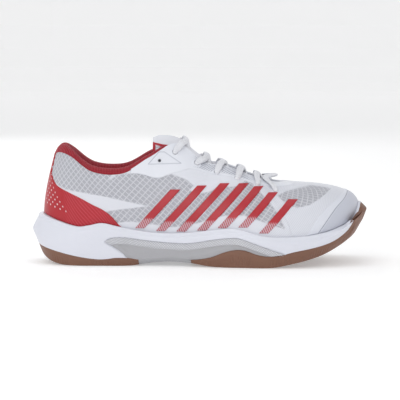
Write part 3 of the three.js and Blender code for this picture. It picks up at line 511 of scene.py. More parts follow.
def sole_piece(name, s, bottom, top, rows, finishes, skin=2.4, floor_rows=0, relief=None):
    """A carved part of the sole: under face (floor_rows wide), wall from bottom to top, and the
    inner face a skin's thickness in."""
    lines = sole_wall(s)
    low = share_at_height(lines, bottom)
    high = np.maximum(share_at_height(lines, top), low + 0.004)
    share = low + (high - low) * np.linspace(0, 1, rows)
    outer = up_the_wall(lines, share)
    plan = unrolled(outer).reshape(*outer.shape[:2], 2)
    if relief:
        outer = outer + outward(s)[:, None] * relief(plan, np.linspace(0, 1, rows)[None])[..., None]
    inner = outer[:, ::-1] - outward(s)[:, None] * skin
    inner[..., 2] = outer[:, ::-1, 2]
    face = np.concatenate([outer, inner], 1)
    flat = np.concatenate([plan, plan[:, ::-1]], 1)
    if floor_rows:
        shares = np.linspace(0.985, 0, floor_rows + 1)[:-1]
        edge = outer[:, 0]
        floor = across_floor(edge, shares, lambda x, y: ground(x) + tread_depth(x, y))
        roof = across_floor(inner[:, -1], shares[::-1], lambda x, y: ground(x) + floor_thickness)
        face = np.concatenate([floor, face, roof], 1)
        flat = np.concatenate([floor[..., :2], flat, roof[..., :2]], 1)
    points, faces = face.reshape(-1, 3), grid_faces(*face.shape[:2], round_columns=True)
    count = face.shape[1]
    half = np.arange(count // 2 - 1)
    for start, turn in ((0, 1), ((len(s) - 1) * count, -1)):
        cap = start + np.stack([half, half + 1, count - 2 - half, count - 1 - half], -1)
        faces = np.concatenate([faces, cap[:, ::turn]])
    return make_piece(name, points, faces, finishes, flat=flat.reshape(-1, 2), weld=True)


gum = finish("gum_rubber", 0.5, Subsurface_Weight=0.06, Subsurface_Radius=(0.004, 0.002, 0.001))
coloured(gum, mixed(gum, noise(gum, 45, 4), srgb("#74503f"), srgb("#805a47")))
bumped(gum, noise(gum, 900, 2), 0.00012)


def gum_wall_ribs(plan, share):
    """Fine upright ribs in blocks along the gum's wall, fading at its top and bottom edges."""
    block = (np.sin(plan[..., 0] * 2 * np.pi / 34) > -0.1) * np.clip((share - 0.12) * 8, 0, 1)
    ribs = block * (np.sin(plan[..., 0] * 2 * np.pi / 2.4) > 0.2) * np.clip((0.8 - share) * 8, 0, 1)
    top_edge = 1 - np.sqrt(1 - np.clip((share - 0.82) / 0.18, 0, 1) ** 2)
    return -0.35 * ribs - 0.45 * top_edge


heel_s = ribs_along(340, -4.15, 4.15)
heel_gum = sole_piece("heel_gum", heel_s, ground, gum_top, 26, [gum],
                      floor_rows=26, relief=gum_wall_ribs)
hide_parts("outsole_heel")
toe_s = ribs_along(700, 6.0, round_shoe - 6.0)
forefoot_gum = sole_piece("forefoot_gum", toe_s, ground, gum_top, 30, [gum],
                          floor_rows=28, relief=gum_wall_ribs)
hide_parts("outsole_forefoot")


# Midsole: one moulded cup of white painted foam from heel to toe. Its wall leans out to a crease and
# in again to the lip that holds the upper, and it is recessed where the shank lies over it.
shank_top = through((63, 20.6), (65, 22), (71, 23.8), (81, 23.8), (96, 21.9), (115, 20.1), (134, 19.9),
                    (154, 23.2), (171, 25), (179, 23.5), (190, 19.6), (204, 14.6), (213, 11.6))
shank_foot = through((63, 20.4), (66, 18.6), (71, 15.8), (78, 10.8), (81, 7.5), (85, 5), (92, 2.2),
                     (100, 2.2), (118, 3.6), (130, 3.6), (136, 5.6), (140, 6), (152, 8.4),
                     (162, 12.4), (172, 14.9), (180, 14.5), (190, 11.2), (200, 9.7), (210, 10.8),
                     (213, 11.4))
foam = finish("painted_foam", 0.42, Subsurface_Weight=0.08, Subsurface_Radius=(0.003, 0.003, 0.003))
coloured(foam, mixed(foam, noise(foam, 30, 3), srgb("#d8dae3"), srgb("#dfe1ea")))
bumped(foam, noise(foam, 700, 3), 0.00008)


def foam_foot(x):
    """Lower edge of the foam's wall: the top of the gum, or hidden behind the shank's middle."""
    behind = np.clip((x - 84) / 8, 0, 1) * np.clip((214 - x) / 6, 0, 1)
    return gum_top(x) * (1 - behind) + (shank_top(x) - 3) * behind


def foam_relief(points, plan):
    """Recess behind the shank, a soft groove under the lip and the moulded dots by the shank's tip."""
    x, z = points[..., 0], points[..., 2]
    behind = (x > 63) & (x < 213) & (z < shank_top(x)) & (z > shank_foot(x) - 0.5)
    lip_groove = 0.35 * np.exp(-(((foam_top(x) - z) - 3.2) / 0.9) ** 2)
    dots = (np.cos(plan[..., 0] * 2.6) * np.cos(plan[..., 1] * 2.6) > 0.45) * np.exp(
        -(((x - 52) / 13) ** 2) - ((z - 21) / 4) ** 2)
    return -1.0 * behind - lip_groove + 0.18 * (dots > 0.25) - 0.1 * (dots > 0.6)


foam_rows = 52
foam_s = ribs_along(1100, 0, round_shoe)[:-1]
foam_lines = sole_wall(foam_s)
foam_low = share_at_height(foam_lines, foam_foot)
foam_share = foam_low + (1 - foam_low) * np.linspace(0, 1, foam_rows)
foam_outer = up_the_wall(foam_lines, foam_share)
foam_plan = unrolled(foam_outer).reshape(*foam_outer.shape[:2], 2)
foam_outer = foam_outer + outward(foam_s)[:, None] * foam_relief(foam_outer, foam_plan)[..., None]
lip_in = outward(foam_s) * (lip_wall(on_ring(foot_ring, foam_s)[:, 0]) + 0.55)[:, None]
lip_top, foam_waist = foam_outer[:, -1], foam_outer[:, foam_rows // 2]
lip_rows = np.stack([
    lip_top - lip_in * 0.12 + (0, 0, 0.32), lip_top - lip_in * 0.5 + (0, 0, 0.42),
    lip_top - lip_in * 0.88 + (0, 0, 0.25), lip_top - lip_in - (0, 0, 0.4),
    foam_waist * (1, 1, 0) - lip_in + foam_waist * (0, 0, 1), foam_outer[:, 0] - lip_in,
], 1)
foam_face = np.concatenate([foam_outer, lip_rows], 1)
midsole = make_piece(
    "foam_midsole", foam_face.reshape(-1, 3),
    grid_faces(*foam_face.shape[:2], round_rows=True, round_columns=True), [foam],
    flat=np.concatenate([foam_plan, foam_plan[:, -lip_rows.shape[1]:]], 1).reshape(-1, 2), weld=True)
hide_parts("midsole")


# Shank: a stiff grey moulding under the arch. Its two wings lie over the foam's wall, with a dotted
# upper band and a smooth facet below, and a ribbed belly joins them between the gum pieces.
shank_plastic = finish("shank_plastic", 0.38)
band = mark_of(shank_plastic, "dotted_band")
along_wave, up_wave = (sum_of(shank_plastic, "SINE", sum_of(shank_plastic, "MULTIPLY", way, 2.9))
                       for way in flat_plan(shank_plastic))
dot_grid = sum_of(shank_plastic, "MULTIPLY", along_wave, up_wave)
dots = sum_of(shank_plastic, "MULTIPLY", step_between(shank_plastic, dot_grid, 0.1, 0.4), band)
grey = mixed(shank_plastic, band, srgb("#a9a9ad"), srgb("#bcbdc2"))
coloured(shank_plastic, mixed(shank_plastic, dots, grey, srgb("#d6d7dd")))
bumped(shank_plastic, sum_of(shank_plastic, "ADD", dots, noise(shank_plastic, 800, 2)), 0.0002)


shank_thickness = 3.2


def shank_wing(first, last):
    """One wing: outer and inner grids between the shank's foot and top lines, and where the dotted
    band is."""
    columns, rows = 420, 40
    s = np.linspace(first, last, columns)
    lines = sole_wall(s)
    low = share_at_height(lines, shank_foot)
    high = np.maximum(share_at_height(lines, shank_top), low + 0.003)
    across = np.linspace(0, 1, rows)[None]
    outer = up_the_wall(lines, low + (high - low) * across)
    z, x = outer[..., 2], outer[..., 0]
    step = np.clip((shank_top(x) - z - 5.2) / 0.9, 0, 1)
    facet = np.exp(-(((z - shank_foot(x)) - 3.5) / 2.2) ** 2)
    from_end = np.minimum(np.arange(columns), np.arange(columns)[::-1])[:, None]
    edge = np.clip(np.minimum(across, 1 - across) * 14, 0, 1) * np.clip(from_end / 10, 0, 1)
    out = (0.5 - 1.3 * step + 0.7 * facet) * edge - 0.8 * (1 - edge)
    normal = outward(s)[:, None]
    return outer + normal * out[..., None], outer - normal * shank_thickness, 1 - step


plies = []
for first, last in ((3.08, 9.25), (round_shoe - 9.25, round_shoe - 3.08)):
    outer, inner, dotted = shank_wing(first, last)
    plies.append((outer, inner, unrolled(outer), dotted.ravel()))
belly_s = np.linspace(4.16, 6.0, 90)
belly_edge = sole_wall(belly_s)[:, 0]
belly_mate = sole_wall(round_shoe - belly_s)[:, 0]
share = np.linspace(0, 1, 60)[None, :, None]
belly = belly_edge[:, None] * (1 - share) + belly_mate[:, None] * share
arch = np.sin(np.pi * share[..., 0])
rib = 0.7 * (np.sin(belly[..., 1] * 2 * np.pi / 9) > 0.3) * (arch > 0.35)
belly[..., 2] = ground(belly[..., 0]) + 0.6 * arch - rib
plies.append((belly + (0, 0, shank_thickness), belly, belly[..., :2].reshape(-1, 2), np.zeros(rib.size)))
points, faces, flat, band_share = [], [], [], []
for outer, inner, plan, dotted in plies:
    ply_points, ply_faces = two_faced(outer, inner)
    faces.append(ply_faces + sum(map(len, points)))
    points.append(ply_points)
    flat.append(np.tile(plan, (2, 1)))
    band_share.append(np.tile(dotted, 2))
shank = make_piece("shank", np.concatenate(points), np.concatenate(faces), [shank_plastic],
                   flat=np.concatenate(flat), marks={"dotted_band": np.concatenate(band_share)}, weld=True)
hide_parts("midfoot_shank")


# Upper: white diamond mesh in three sewn panels, the two quarters and the vamp. Thin white film is
# welded over it at the forefoot, the eyestay, the collar and along the sole, with a leaf-shaped
# window left open on the toes. The mesh's cords stand up from it and the film has raised edges.
def to_edge(x, z, ax, az, bx, bz):
    """Distance in mm in the side view to the straight edge from (ax, az) to (bx, bz)."""
    share = ((x - ax) * (bx - ax) + (z - az) * (bz - az)) / ((bx - ax) ** 2 + (bz - az) ** 2)
    share = np.clip(share, 0, 1)
    return np.hypot(x - ax - share * (bx - ax), z - az - share * (bz - az))


def inside_by(x, z, outline):
    """Distance in mm inside a closed outline in the side view; negative outside."""
    corners = np.array(outline, float)
    nearest = np.full(x.shape, 1e9)
    inside = np.zeros(x.shape, bool)
    for (ax, az), (bx, bz) in zip(corners, np.roll(corners, -1, 0)):
        nearest = np.minimum(nearest, to_edge(x, z, ax, az, bx, bz))
        crossing = ((az > z) != (bz > z)) & (x < (bx - ax) * (z - az) / (bz - az + 1e-9) + ax)
        inside ^= crossing
    return np.where(inside, nearest, -nearest)


forefoot_film = [(176, 84), (178.5, 72), (185.3, 69.3), (195.5, 59), (206.6, 46), (213.4, 32.5), (214, 10),
                 (330, 10), (330, 120), (176, 120)]
toe_window = [(208.5, 58.5), (214, 61.5), (224.4, 63.5), (239.6, 66), (254.7, 67), (258, 66.5), (252, 62),
              (244.6, 57), (234.6, 51.5), (224.5, 49.4), (217.6, 51.3), (212.5, 54.5)]
collar_film = [(66, 70), (73, 75.5), (82, 77), (98, 77), (118, 76.5), (131, 72), (138, 66.5), (146, 70),
               (158, 69), (164, 66), (176, 66), (182, 72), (180, 130), (100, 130), (82, 90), (72, 84)]
heel_film = [(10, 66), (19, 69.5), (28, 64.5), (38, 62.5), (50, 60.5), (66, 57.8), (82, 54), (101, 50),
             (94, 49), (82, 47.5), (70, 46), (64, 45), (75, 33), (75, 10), (0, 10)]
rand_film = through((60, 24), (75, 36), (100, 35.5), (120, 33), (140, 36.5), (160, 42.5), (178, 43.5),
                    (196, 38), (214, 32))
side_patch = [(134, 64), (141, 69.5), (150, 71.3), (160, 71.3), (162, 69.5), (159, 66), (152, 62),
              (138, 59.5)]
mesh_pitch = 5.4
film_height, cord_height, mesh_sink, mesh_thickness = 0.22, 0.3, 0.38, 1.1


def cord_lines(flat):
    """1 on the raised diagonal cords of the mesh, 0 in its open cells, from the flat plan in mm."""
    a = (flat[..., 0] + flat[..., 1]) / mesh_pitch
    b = (flat[..., 0] - flat[..., 1]) / mesh_pitch
    away = np.minimum(np.abs((a + 0.5) % 1 - 0.5), np.abs((b + 0.5) % 1 - 0.5))
    return np.clip((0.17 - away) / 0.09, 0, 1)


def film_share(p):
    """0 on bare mesh to 1 on welded film, with a narrow ramp at the film's edges."""
    x, z = p[..., 0], p[..., 2]
    depth = inside_by(x, z, forefoot_film)
    depth = np.minimum(depth, -inside_by(x, z, toe_window))
    for outline in (collar_film, heel_film, side_patch):
        depth = np.maximum(depth, inside_by(x, z, outline))
    depth = np.maximum(depth, np.where(x > 60, rand_film(x) - z, -9))
    depth = np.maximum(depth, np.where((z > 60) & (x > 205) & (np.abs(p[..., 1]) < 12), 3.0, -9))
    return np.clip(depth / 0.9 + 0.3, 0, 1)


def upper_panel(name, first, last, columns, rows, node):
    """One sewn panel of the upper, with the mesh's cords, the film's edges and its fine ribs raised."""
    k, share = np.linspace(first, last, columns), np.linspace(0.012, 1, rows)
    s, t = np.meshgrid(k, share, indexing="ij")
    bare = upper(s, t)
    flat = unrolled(bare).reshape(columns, rows, 2)
    film = film_share(bare)
    lines = cord_lines(flat)
    forefoot = np.clip((bare[..., 0] - 186) / 14, 0, 1) * film
    fan = (bare[..., 0] * 0.80 - bare[..., 2] * 0.60) / 2.1
    ribs = 0.07 * forefoot * np.sin(2 * np.pi * fan)
    x, z = bare[..., 0], bare[..., 2]
    ease = np.clip((1 - t) * 12, 0, 1)
    height = film * film_height + ribs + (1 - film) * (lines * cord_height - mesh_sink)
    patch_groove = 0.4 * np.exp(-((inside_by(x, z, side_patch) - 0.2) / 0.5) ** 2)
    stitch = 0.35 * np.exp(-((z - 75.2 - 0.02 * (x - 130)) / 0.6) ** 2) * (x > 92) * (x < 176)
    height = (height - patch_groove - stitch) * ease
    outer = bare + upper_normal(s, t) * height[..., None]
    inner = off_upper(s, t, np.full_like(s, -mesh_thickness))
    points, faces = two_faced(outer, inner)
    panel = make_piece(name, points, faces, [mesh_and_film], flat=np.tile(flat.reshape(-1, 2), (2, 1)),
                       marks={"film": np.tile(film.ravel(), 2),
                              "forefoot": np.tile(forefoot.ravel(), 2)})
    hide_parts(node)


mesh_and_film = finish("mesh_and_film", 0.7, Sheen_Weight=0.15, Sheen_Roughness=0.5)
u, v = flat_plan(mesh_and_film)
film_here = mark_of(mesh_and_film, "film")
forefoot_here = mark_of(mesh_and_film, "forefoot")


def cord_nodes(material, u, v, pitch):
    """Node version of cord_lines: 1 on the diagonal cords."""
    away = []
    for operation in ("ADD", "SUBTRACT"):
        turns = sum_of(material, "MULTIPLY", sum_of(material, operation, u, v), 1 / pitch)
        away.append(sum_of(material, "PINGPONG", turns, 0.5))
    return step_between(material, sum_of(material, "MINIMUM", *away), 0.15, 0.06)


def round_holes(material, u, v, pitch, radius):
    """1 inside round holes on a staggered grid."""
    row = sum_of(material, "MULTIPLY", v, 1 / (pitch * 0.5))
    odd_row = sum_of(material, "MODULO", sum_of(material, "FLOOR", row), 2.0)
    shift = sum_of(material, "MULTIPLY", odd_row, 0.5)
    across = sum_of(material, "MULTIPLY", u, 1 / pitch)
    across = sum_of(material, "FRACT", sum_of(material, "ADD", across, shift))
    up = sum_of(material, "FRACT", row)
    dx = sum_of(material, "MULTIPLY", sum_of(material, "SUBTRACT", across, 0.5), pitch)
    dy = sum_of(material, "MULTIPLY", sum_of(material, "SUBTRACT", up, 0.5), pitch * 0.5)
    square = sum_of(material, "ADD", *(sum_of(material, "POWER", way, 2.0) for way in (dx, dy)))
    return step_between(material, sum_of(material, "SQRT", square), radius * 1.25, radius * 0.8)


cords = cord_nodes(mesh_and_film, u, v, mesh_pitch)
pores_and_shade = round_holes(mesh_and_film, u, v, 1.1, 0.3)
cloth = mixed(mesh_and_film, noise(mesh_and_film, 160, 3), srgb("#cbccd4"), srgb("#d7d8df"))
# The mesh's pores are painted darker, as shade in the holes.
cloth = mixed(mesh_and_film, sum_of(mesh_and_film, "MULTIPLY", pores_and_shade, 0.7), cloth, srgb("#a9abb7"))
mesh_colour = mixed(mesh_and_film, cords, cloth, srgb("#e4e5ec"))
film_colour = mixed(mesh_and_film, noise(mesh_and_film, 22, 3), srgb("#d6d8e0"), srgb("#dfe1e8"))
slanted_u = sum_of(mesh_and_film, "MULTIPLY", u, 0.8)
slanted_v = sum_of(mesh_and_film, "MULTIPLY", v, -0.9)
thread = sum_of(mesh_and_film, "ADD", slanted_u, slanted_v)
thread = sum_of(mesh_and_film, "SINE", sum_of(mesh_and_film, "MULTIPLY", thread, 4.2))
thread = sum_of(mesh_and_film, "MULTIPLY", step_between(mesh_and_film, thread, 0.3, 1.0), forefoot_here)
thread = sum_of(mesh_and_film, "MULTIPLY", thread, 0.5)
film_colour = mixed(mesh_and_film, thread, film_colour, srgb("#c3c6d1"))
coloured(mesh_and_film, mixed(mesh_and_film, film_here, mesh_colour, film_colour))
weave = sum_of(mesh_and_film, "MULTIPLY", sum_of(mesh_and_film, "SUBTRACT", 1.0, film_here), pores_and_shade)
weave = sum_of(mesh_and_film, "MULTIPLY", weave, 2.5)
bumped(mesh_and_film, sum_of(mesh_and_film, "SUBTRACT", noise(mesh_and_film, 1200, 2), weave), 0.00012)
mesh_roughness, film_roughness = 0.85, 0.45
how_rough = add_node(mesh_and_film, "MapRange", {0: film_here, 3: mesh_roughness, 4: film_roughness})
mesh_shader = mesh_and_film.node_tree.nodes["Principled BSDF"]
mesh_and_film.node_tree.links.new(how_rough.outputs[0], mesh_shader.inputs["Roughness"])

back_gap, side_seam = 0.004, 9.5
upper_panel("quarter_outer", back_gap, side_seam, 340, 128, "quarter_lateral")
upper_panel("quarter_inner", round_shoe - side_seam, round_shoe - back_gap, 340, 128, "quarter_medial")
upper_panel("toe_vamp", side_seam, round_shoe - side_seam, 260, 120, "vamp")


# Overlays: thin red and white films, about 0.5 mm thick with rounded edges, welded on the mesh.
over_mesh, edge_sink = 0.3, 0.45


def smoothed(values, weights):
    """Running mean of a row of values with these weights, its ends held."""
    return np.convolve(np.pad(values, len(weights) // 2, mode="edge"), weights, "valid")


def welded_patch(s, t, thickness, edge, relief=0.0, sink=0.5):
    """Closed patch over a grid of (s, t): full thickness inside, falling to the mesh at its borders.
    Also gives each point's distance from the border."""
    rows, columns = s.shape
    grid = upper(s, t)
    along = np.r_[0, np.cumsum(np.linalg.norm(np.diff(grid[:, columns // 2], axis=0), axis=1))]
    across = np.cumsum(np.linalg.norm(np.diff(grid, axis=1), axis=2), axis=1)
    across = np.concatenate([np.zeros((rows, 1)), across], 1)
    margin = np.minimum(np.minimum(across, across[:, -1:] - across),
                        np.minimum(along, along[-1] - along)[:, None])
    round_edge = np.sqrt(1 - (1 - np.clip(margin / edge, 0, 1)) ** 2)
    out = over_mesh + (thickness + relief) * round_edge - edge_sink * (1 - round_edge)
    outer = grid + upper_normal(s, t) * out[..., None]
    inner = grid - upper_normal(s, t) * sink
    flat = np.stack([np.broadcast_to(along[:, None], across.shape), across], -1).reshape(-1, 2)
    points, faces = two_faced(outer, inner)
    return points, faces, np.tile(flat, (2, 1)), margin


# Side bars: seven slanted red bars on each side, glossy film with a fine lengthways grain. Near the
# sole each one has rows of small holes that show the pale mesh.
red_film = finish("red_film", 0.33, Coat_Weight=0.25, Coat_Roughness=0.25)
u, v = flat_plan(red_film)
foot_of_bar = step_between(red_film, u, 17.0, 2.0)
holes = round_holes(red_film, u, v, 1.9, 0.52)
holes = sum_of(red_film, "MULTIPLY", holes, step_between(red_film, foot_of_bar, 0.15, 0.5))
grain = sum_of(red_film, "SINE", sum_of(red_film, "MULTIPLY", v, 7.0))
red = mixed(red_film, noise(red_film, 60, 3), srgb("#a80f1e"), srgb("#b81a2a"))
red = mixed(red_film, sum_of(red_film, "MULTIPLY", foot_of_bar, 0.25), red, srgb("#c65568"))
coloured(red_film, mixed(red_film, holes, red, srgb("#dcc3cb")))
dent = sum_of(red_film, "SUBTRACT", sum_of(red_film, "MULTIPLY", grain, 0.15), holes)
bumped(red_film, dent, 0.0002)

sides = ((-1, "lateral"), (1, "medial"))
bar_count, first_bar, bar_pitch, bar_slant, bar_width = 7, 88, 17.2, 0.92, 8.4
bar_top = through((88, 58), (110, 64), (140, 69), (170, 68), (200, 60), (230, 50))
for side, side_name in sides:
    for index in range(bar_count):
        x0 = first_bar + bar_pitch * index
        z0, z1 = foam_top(np.array(x0)) + 1.2, bar_top(np.array(x0 + 22.0))
        z = np.linspace(z0, z1, 70)[:, None] + np.zeros((1, 18))
        width = bar_width * np.hypot(1, bar_slant) * 0.74
        x = x0 + (z - z0) * bar_slant + np.linspace(0, width, 18)[None]
        s, t = place_on_side(x, z, side, x0 / 20 + 0.2)
        points, faces, flat, _ = welded_patch(s, t, 0.55, 0.7)
        if side > 0:
            faces = faces[:, ::-1]
        bar = make_piece(f"bar_{side_name}_{index + 1}", points, faces, [red_film], flat=flat)
        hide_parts(f"side_bar_{side_name}_{index + 1}")


# Heel wrap: one red panel round the back of the heel, running forward along the sole to a point and
# up the back seam as a narrow tab. It is finely ribbed, with rows of pale perforations at the back.
wrap_red = finish("wrap_red", 0.42, Coat_Weight=0.12, Coat_Roughness=0.3)
u, v = flat_plan(wrap_red)
from_middle = mark_of(wrap_red, "round_heel")
round_turns = sum_of(wrap_red, "MULTIPLY", from_middle, 2.2)
up_turns = sum_of(wrap_red, "MULTIPLY", v, 1.5)
ribbing = sum_of(wrap_red, "SINE", sum_of(wrap_red, "ADD", round_turns, up_turns))
ribbed_part = sum_of(wrap_red, "MULTIPLY", step_between(wrap_red, from_middle, 38.0, 52.0),
                     step_between(wrap_red, from_middle, 100.0, 80.0))
ribbing = sum_of(wrap_red, "MULTIPLY", ribbing, ribbed_part)
holes = round_holes(wrap_red, u, v, 6.0, 0.7)
hole_part = sum_of(wrap_red, "MULTIPLY", step_between(wrap_red, from_middle, 10.0, 16.0),
                   step_between(wrap_red, sum_of(wrap_red, "ADD", from_middle, v), 62.0, 54.0))
hole_part = sum_of(wrap_red, "MULTIPLY", hole_part, step_between(wrap_red, v, 8.0, 10.0))
holes = sum_of(wrap_red, "MULTIPLY", holes, hole_part)
red = mixed(wrap_red, noise(wrap_red, 50, 3), srgb("#a80b1b"), srgb("#b51626"))
# The rib crests are painted lighter, as highlight.
red = mixed(wrap_red, step_between(wrap_red, ribbing, 0.2, 1.0), red, srgb("#bd3444"))
coloured(wrap_red, mixed(wrap_red, holes, red, srgb("#e3cdd3")))
bumped(wrap_red, sum_of(wrap_red, "SUBTRACT", sum_of(wrap_red, "MULTIPLY", ribbing, 0.3), holes), 0.00025)

wrap_edge = through((0, 78), (15.5, 78), (17.9, 74.6), (19.3, 70.7), (23.6, 66), (32.5, 61.5), (42.2, 57),
                    (53, 51.2), (61.7, 46.9), (68.6, 41.5), (76, 33.5), (90, 25))
wrap_reach, tab_reach = 3.62, 0.62
reach = np.linspace(-wrap_reach, wrap_reach, 330)
from_heel = np.abs(reach)
s_ring = reach % round_shoe
t_low = height_on_rib(s_ring, foam_top) + 0.002
t_edge = height_on_rib(s_ring, wrap_edge)
tab = 0.985 * np.clip((tab_reach - from_heel) / 0.1, 0, 1) ** 0.3
t_top = np.maximum(np.maximum(t_edge, t_low + 0.004), tab)
t = t_low[:, None] + (t_top - t_low)[:, None] * np.linspace(0, 1, 90)[None]
s = np.broadcast_to(s_ring[:, None], t.shape)
points, faces, flat, _ = welded_patch(s, t, 0.6, 0.8)
round_heel = np.abs(flat[:, 0] - flat[:, 0].max() / 2)
wrap = make_piece("red_heel_wrap", points, faces, [wrap_red], flat=flat,
                  marks={"round_heel": round_heel})
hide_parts("heel_wrap")


# Toe guard: smooth white film round the toe, from the sole to a rounded raised edge. A sunk seam
# line follows the edge, painted dark as shade in its groove, and the tip in front of the seam is a shade
# darker.
white_film = finish("white_film", 0.4, Coat_Weight=0.1, Coat_Roughness=0.4)
shade = mixed(white_film, noise(white_film, 25, 3), srgb("#d6d9e2"), srgb("#dfe1e9"))
seam_shade = mark_of(white_film, "seam_shade")
shade = mixed(white_film, mark_of(white_film, "tip"), shade, srgb("#c3c6d1"))
# The seam's groove is painted dark, as shade.
coloured(white_film, mixed(white_film, seam_shade, shade, srgb("#9296a6")))
bumped(white_film, noise(white_film, 900, 3), 0.00008)

# x of the guard's edge and of its seam at each height
guard_edge_x = through((28, 233), (33, 235.5), (43, 243), (50, 250), (55.5, 257.5), (60, 264),
                       (64.5, 268.5), (70, 272))
seam_x = through((28, 241), (34, 245.5), (40, 250), (48.5, 257), (55, 264), (60, 268), (66, 273))


def guard_top(s):
    """t at which the rib passes the guard's edge curve, found by halving on x against height."""
    foot = height_on_rib(s, foam_top) + 0.004
    low, high = foot, np.full_like(s, 0.62)
    for _ in range(24):
        middle = (low + high) / 2
        p = upper(s, middle)
        ahead = p[..., 0] > guard_edge_x(p[..., 2])
        low, high = np.where(ahead, middle, low), np.where(ahead, high, middle)
    return np.maximum(low, foot + 0.006)


guard_reach, seam_top = 3.05, 64
toe_reach = np.linspace(last_station - guard_reach, last_station + guard_reach, 340)
t_low = height_on_rib(toe_reach, foam_top) + 0.002
t_top = guard_top(toe_reach)
t_top = smoothed(t_top, np.ones(11) / 11)
t = t_low[:, None] + (t_top - t_low)[:, None] * np.linspace(0, 1, 72)[None]
s = np.broadcast_to(toe_reach[:, None], t.shape)
place = upper(s, t)
past_seam = place[..., 0] - seam_x(place[..., 2])
on_seam = np.clip(1 - np.abs(past_seam) / 0.55, 0, 1) * (place[..., 2] < seam_top)
beyond_seam = np.clip(past_seam / 1.5, 0, 1) * (place[..., 2] < seam_top)
points, faces, flat, _ = welded_patch(s, t, 0.45, 1.2, relief=-0.5 * on_seam)
guard = make_piece("white_toe_guard", points, faces, [white_film], flat=flat,
                   marks={"seam_shade": np.tile(np.clip(on_seam * 1.3, 0, 1).ravel(), 2),
                          "tip": np.tile(beyond_seam.ravel(), 2)})
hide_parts("toe_guard")


# Eyestay: a white film band down each side of the throat. It carries seven holes, the last one the
# spare lock hole in its outlined patch, and its middle stretch is finely perforated. The holes, the
# perforations and the patch's sunk outline are painted dark as shade.
eyelets = np.array([(206, 62.5), (191, 67.5), (174, 72.5), (157, 77.5), (140, 85), (122, 94.5),
                    (109, 87.5)])
eyelet_film = finish("eyelet_film", 0.42)
u, v = flat_plan(eyelet_film)
hole_shade_here = mark_of(eyelet_film, "hole_and_shade")
fine_holes_and_shade = round_holes(eyelet_film, u, v, 2.1, 0.42)
fine_holes_and_shade = sum_of(eyelet_film, "MULTIPLY", fine_holes_and_shade, mark_of(eyelet_film, "perforated"))
shade = mixed(eyelet_film, noise(eyelet_film, 25, 3), srgb("#dcdfe7"), srgb("#e4e6ed"))
# The perforations are painted dark grey, as shade in the holes.
shade = mixed(eyelet_film, fine_holes_and_shade, shade, srgb("#777b8e"))
# The sunk outline round the lock patch is painted darker, as shade in its groove.
shade = mixed(eyelet_film, mark_of(eyelet_film, "patch_edge_and_shade"), shade, srgb("#8d90a0"))
# The holes are painted near black, as the shade inside them.
coloured(eyelet_film, mixed(eyelet_film, hole_shade_here, shade, srgb("#1d1d24")))
bumped(eyelet_film, sum_of(eyelet_film, "SUBTRACT", noise(eyelet_film, 900, 3), fine_holes_and_shade), 0.00015)

lock_patch = [(99.5, 84.6), (108.5, 94.5), (113, 94.5), (127, 85.2)]
hole_radius, ring_radius = 2.5, 3.1
eyelet_places = {}
for side, side_name in sides:
    guess = 9.8 - 0.85 * np.arange(len(eyelets))
    hole_s, hole_t = place_on_side(eyelets[:, 0], eyelets[:, 1], side, guess)
    eyelet_places[side_name] = (hole_s, hole_t)
    k = np.linspace(4.3, 11.6, 430)
    t_low = np.interp(k, (4.3, 5.2, 6.0, 6.8, 9, 12), (0.93, 0.68, 0.66, 0.78, 0.78, 0.84))
    t_low = smoothed(t_low, np.ones(27) / 27)
    t = t_low[:, None] + (0.998 - t_low)[:, None] * np.linspace(0, 1, 68)[None]
    s = np.broadcast_to((k if side < 0 else round_shoe - k)[:, None], t.shape)
    place = upper(s, t)
    to_each = [np.linalg.norm(place - upper(a, b), axis=-1) for a, b in zip(hole_s, hole_t)]
    to_each[-1] = to_each[-1] + 0.9
    to_hole = np.min(to_each, axis=0)
    to_outline = np.abs(inside_by(place[..., 0], place[..., 2], lock_patch))
    patch_edge_and_shade = np.clip(1 - to_outline / 0.45, 0, 1) * 0.75
    hole_and_shade = np.clip((hole_radius - to_hole) / 0.5, 0, 1)
    ring = 0.3 * np.exp(-(((to_hole - ring_radius) / 0.5) ** 2))
    perforated = np.clip((place[..., 0] - 136) / 6, 0, 1) * np.clip((188 - place[..., 0]) / 6, 0, 1)
    relief = ring - 0.4 * hole_and_shade - 0.2 * patch_edge_and_shade
    points, faces, flat, margin = welded_patch(s, t, 0.5, 0.9, relief=relief, sink=1.9)
    perforated = perforated * np.clip((margin - 1.5) / 0.5, 0, 1) * np.clip((to_hole - 3.6) * 2, 0, 1)
    if side > 0:
        faces = faces[:, ::-1]
    stay = make_piece(f"eyelet_band_{side_name}", points, faces, [eyelet_film], flat=flat,
                      marks={"hole_and_shade": np.tile(hole_and_shade.ravel(), 2),
                             "perforated": np.tile(perforated.ravel(), 2),
                             "patch_edge_and_shade": np.tile(patch_edge_and_shade.ravel(), 2)})
    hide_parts(f"eyestay_{side_name}")


# Collar: a soft foam roll round the ankle under a red knitted lining, which comes over the top edge
# and down the inside. The knit's ribs run down into the shoe.
knit = finish("red_knit", 0.85, Sheen_Weight=0.35, Sheen_Roughness=0.4, Sheen_Tint=(1, 0.55, 0.6, 1))
u, v = flat_plan(knit)
wale = sum_of(knit, "SINE", sum_of(knit, "MULTIPLY", u, 4.8))
course = sum_of(knit, "SINE", sum_of(knit, "MULTIPLY", v, 7.5))
stitch = sum_of(knit, "MULTIPLY", sum_of(knit, "ADD", wale, 1.0), sum_of(knit, "ADD", course, 2.0))
shade = mixed(knit, noise(knit, 120, 3), srgb("#b4182b"), srgb("#c62438"))
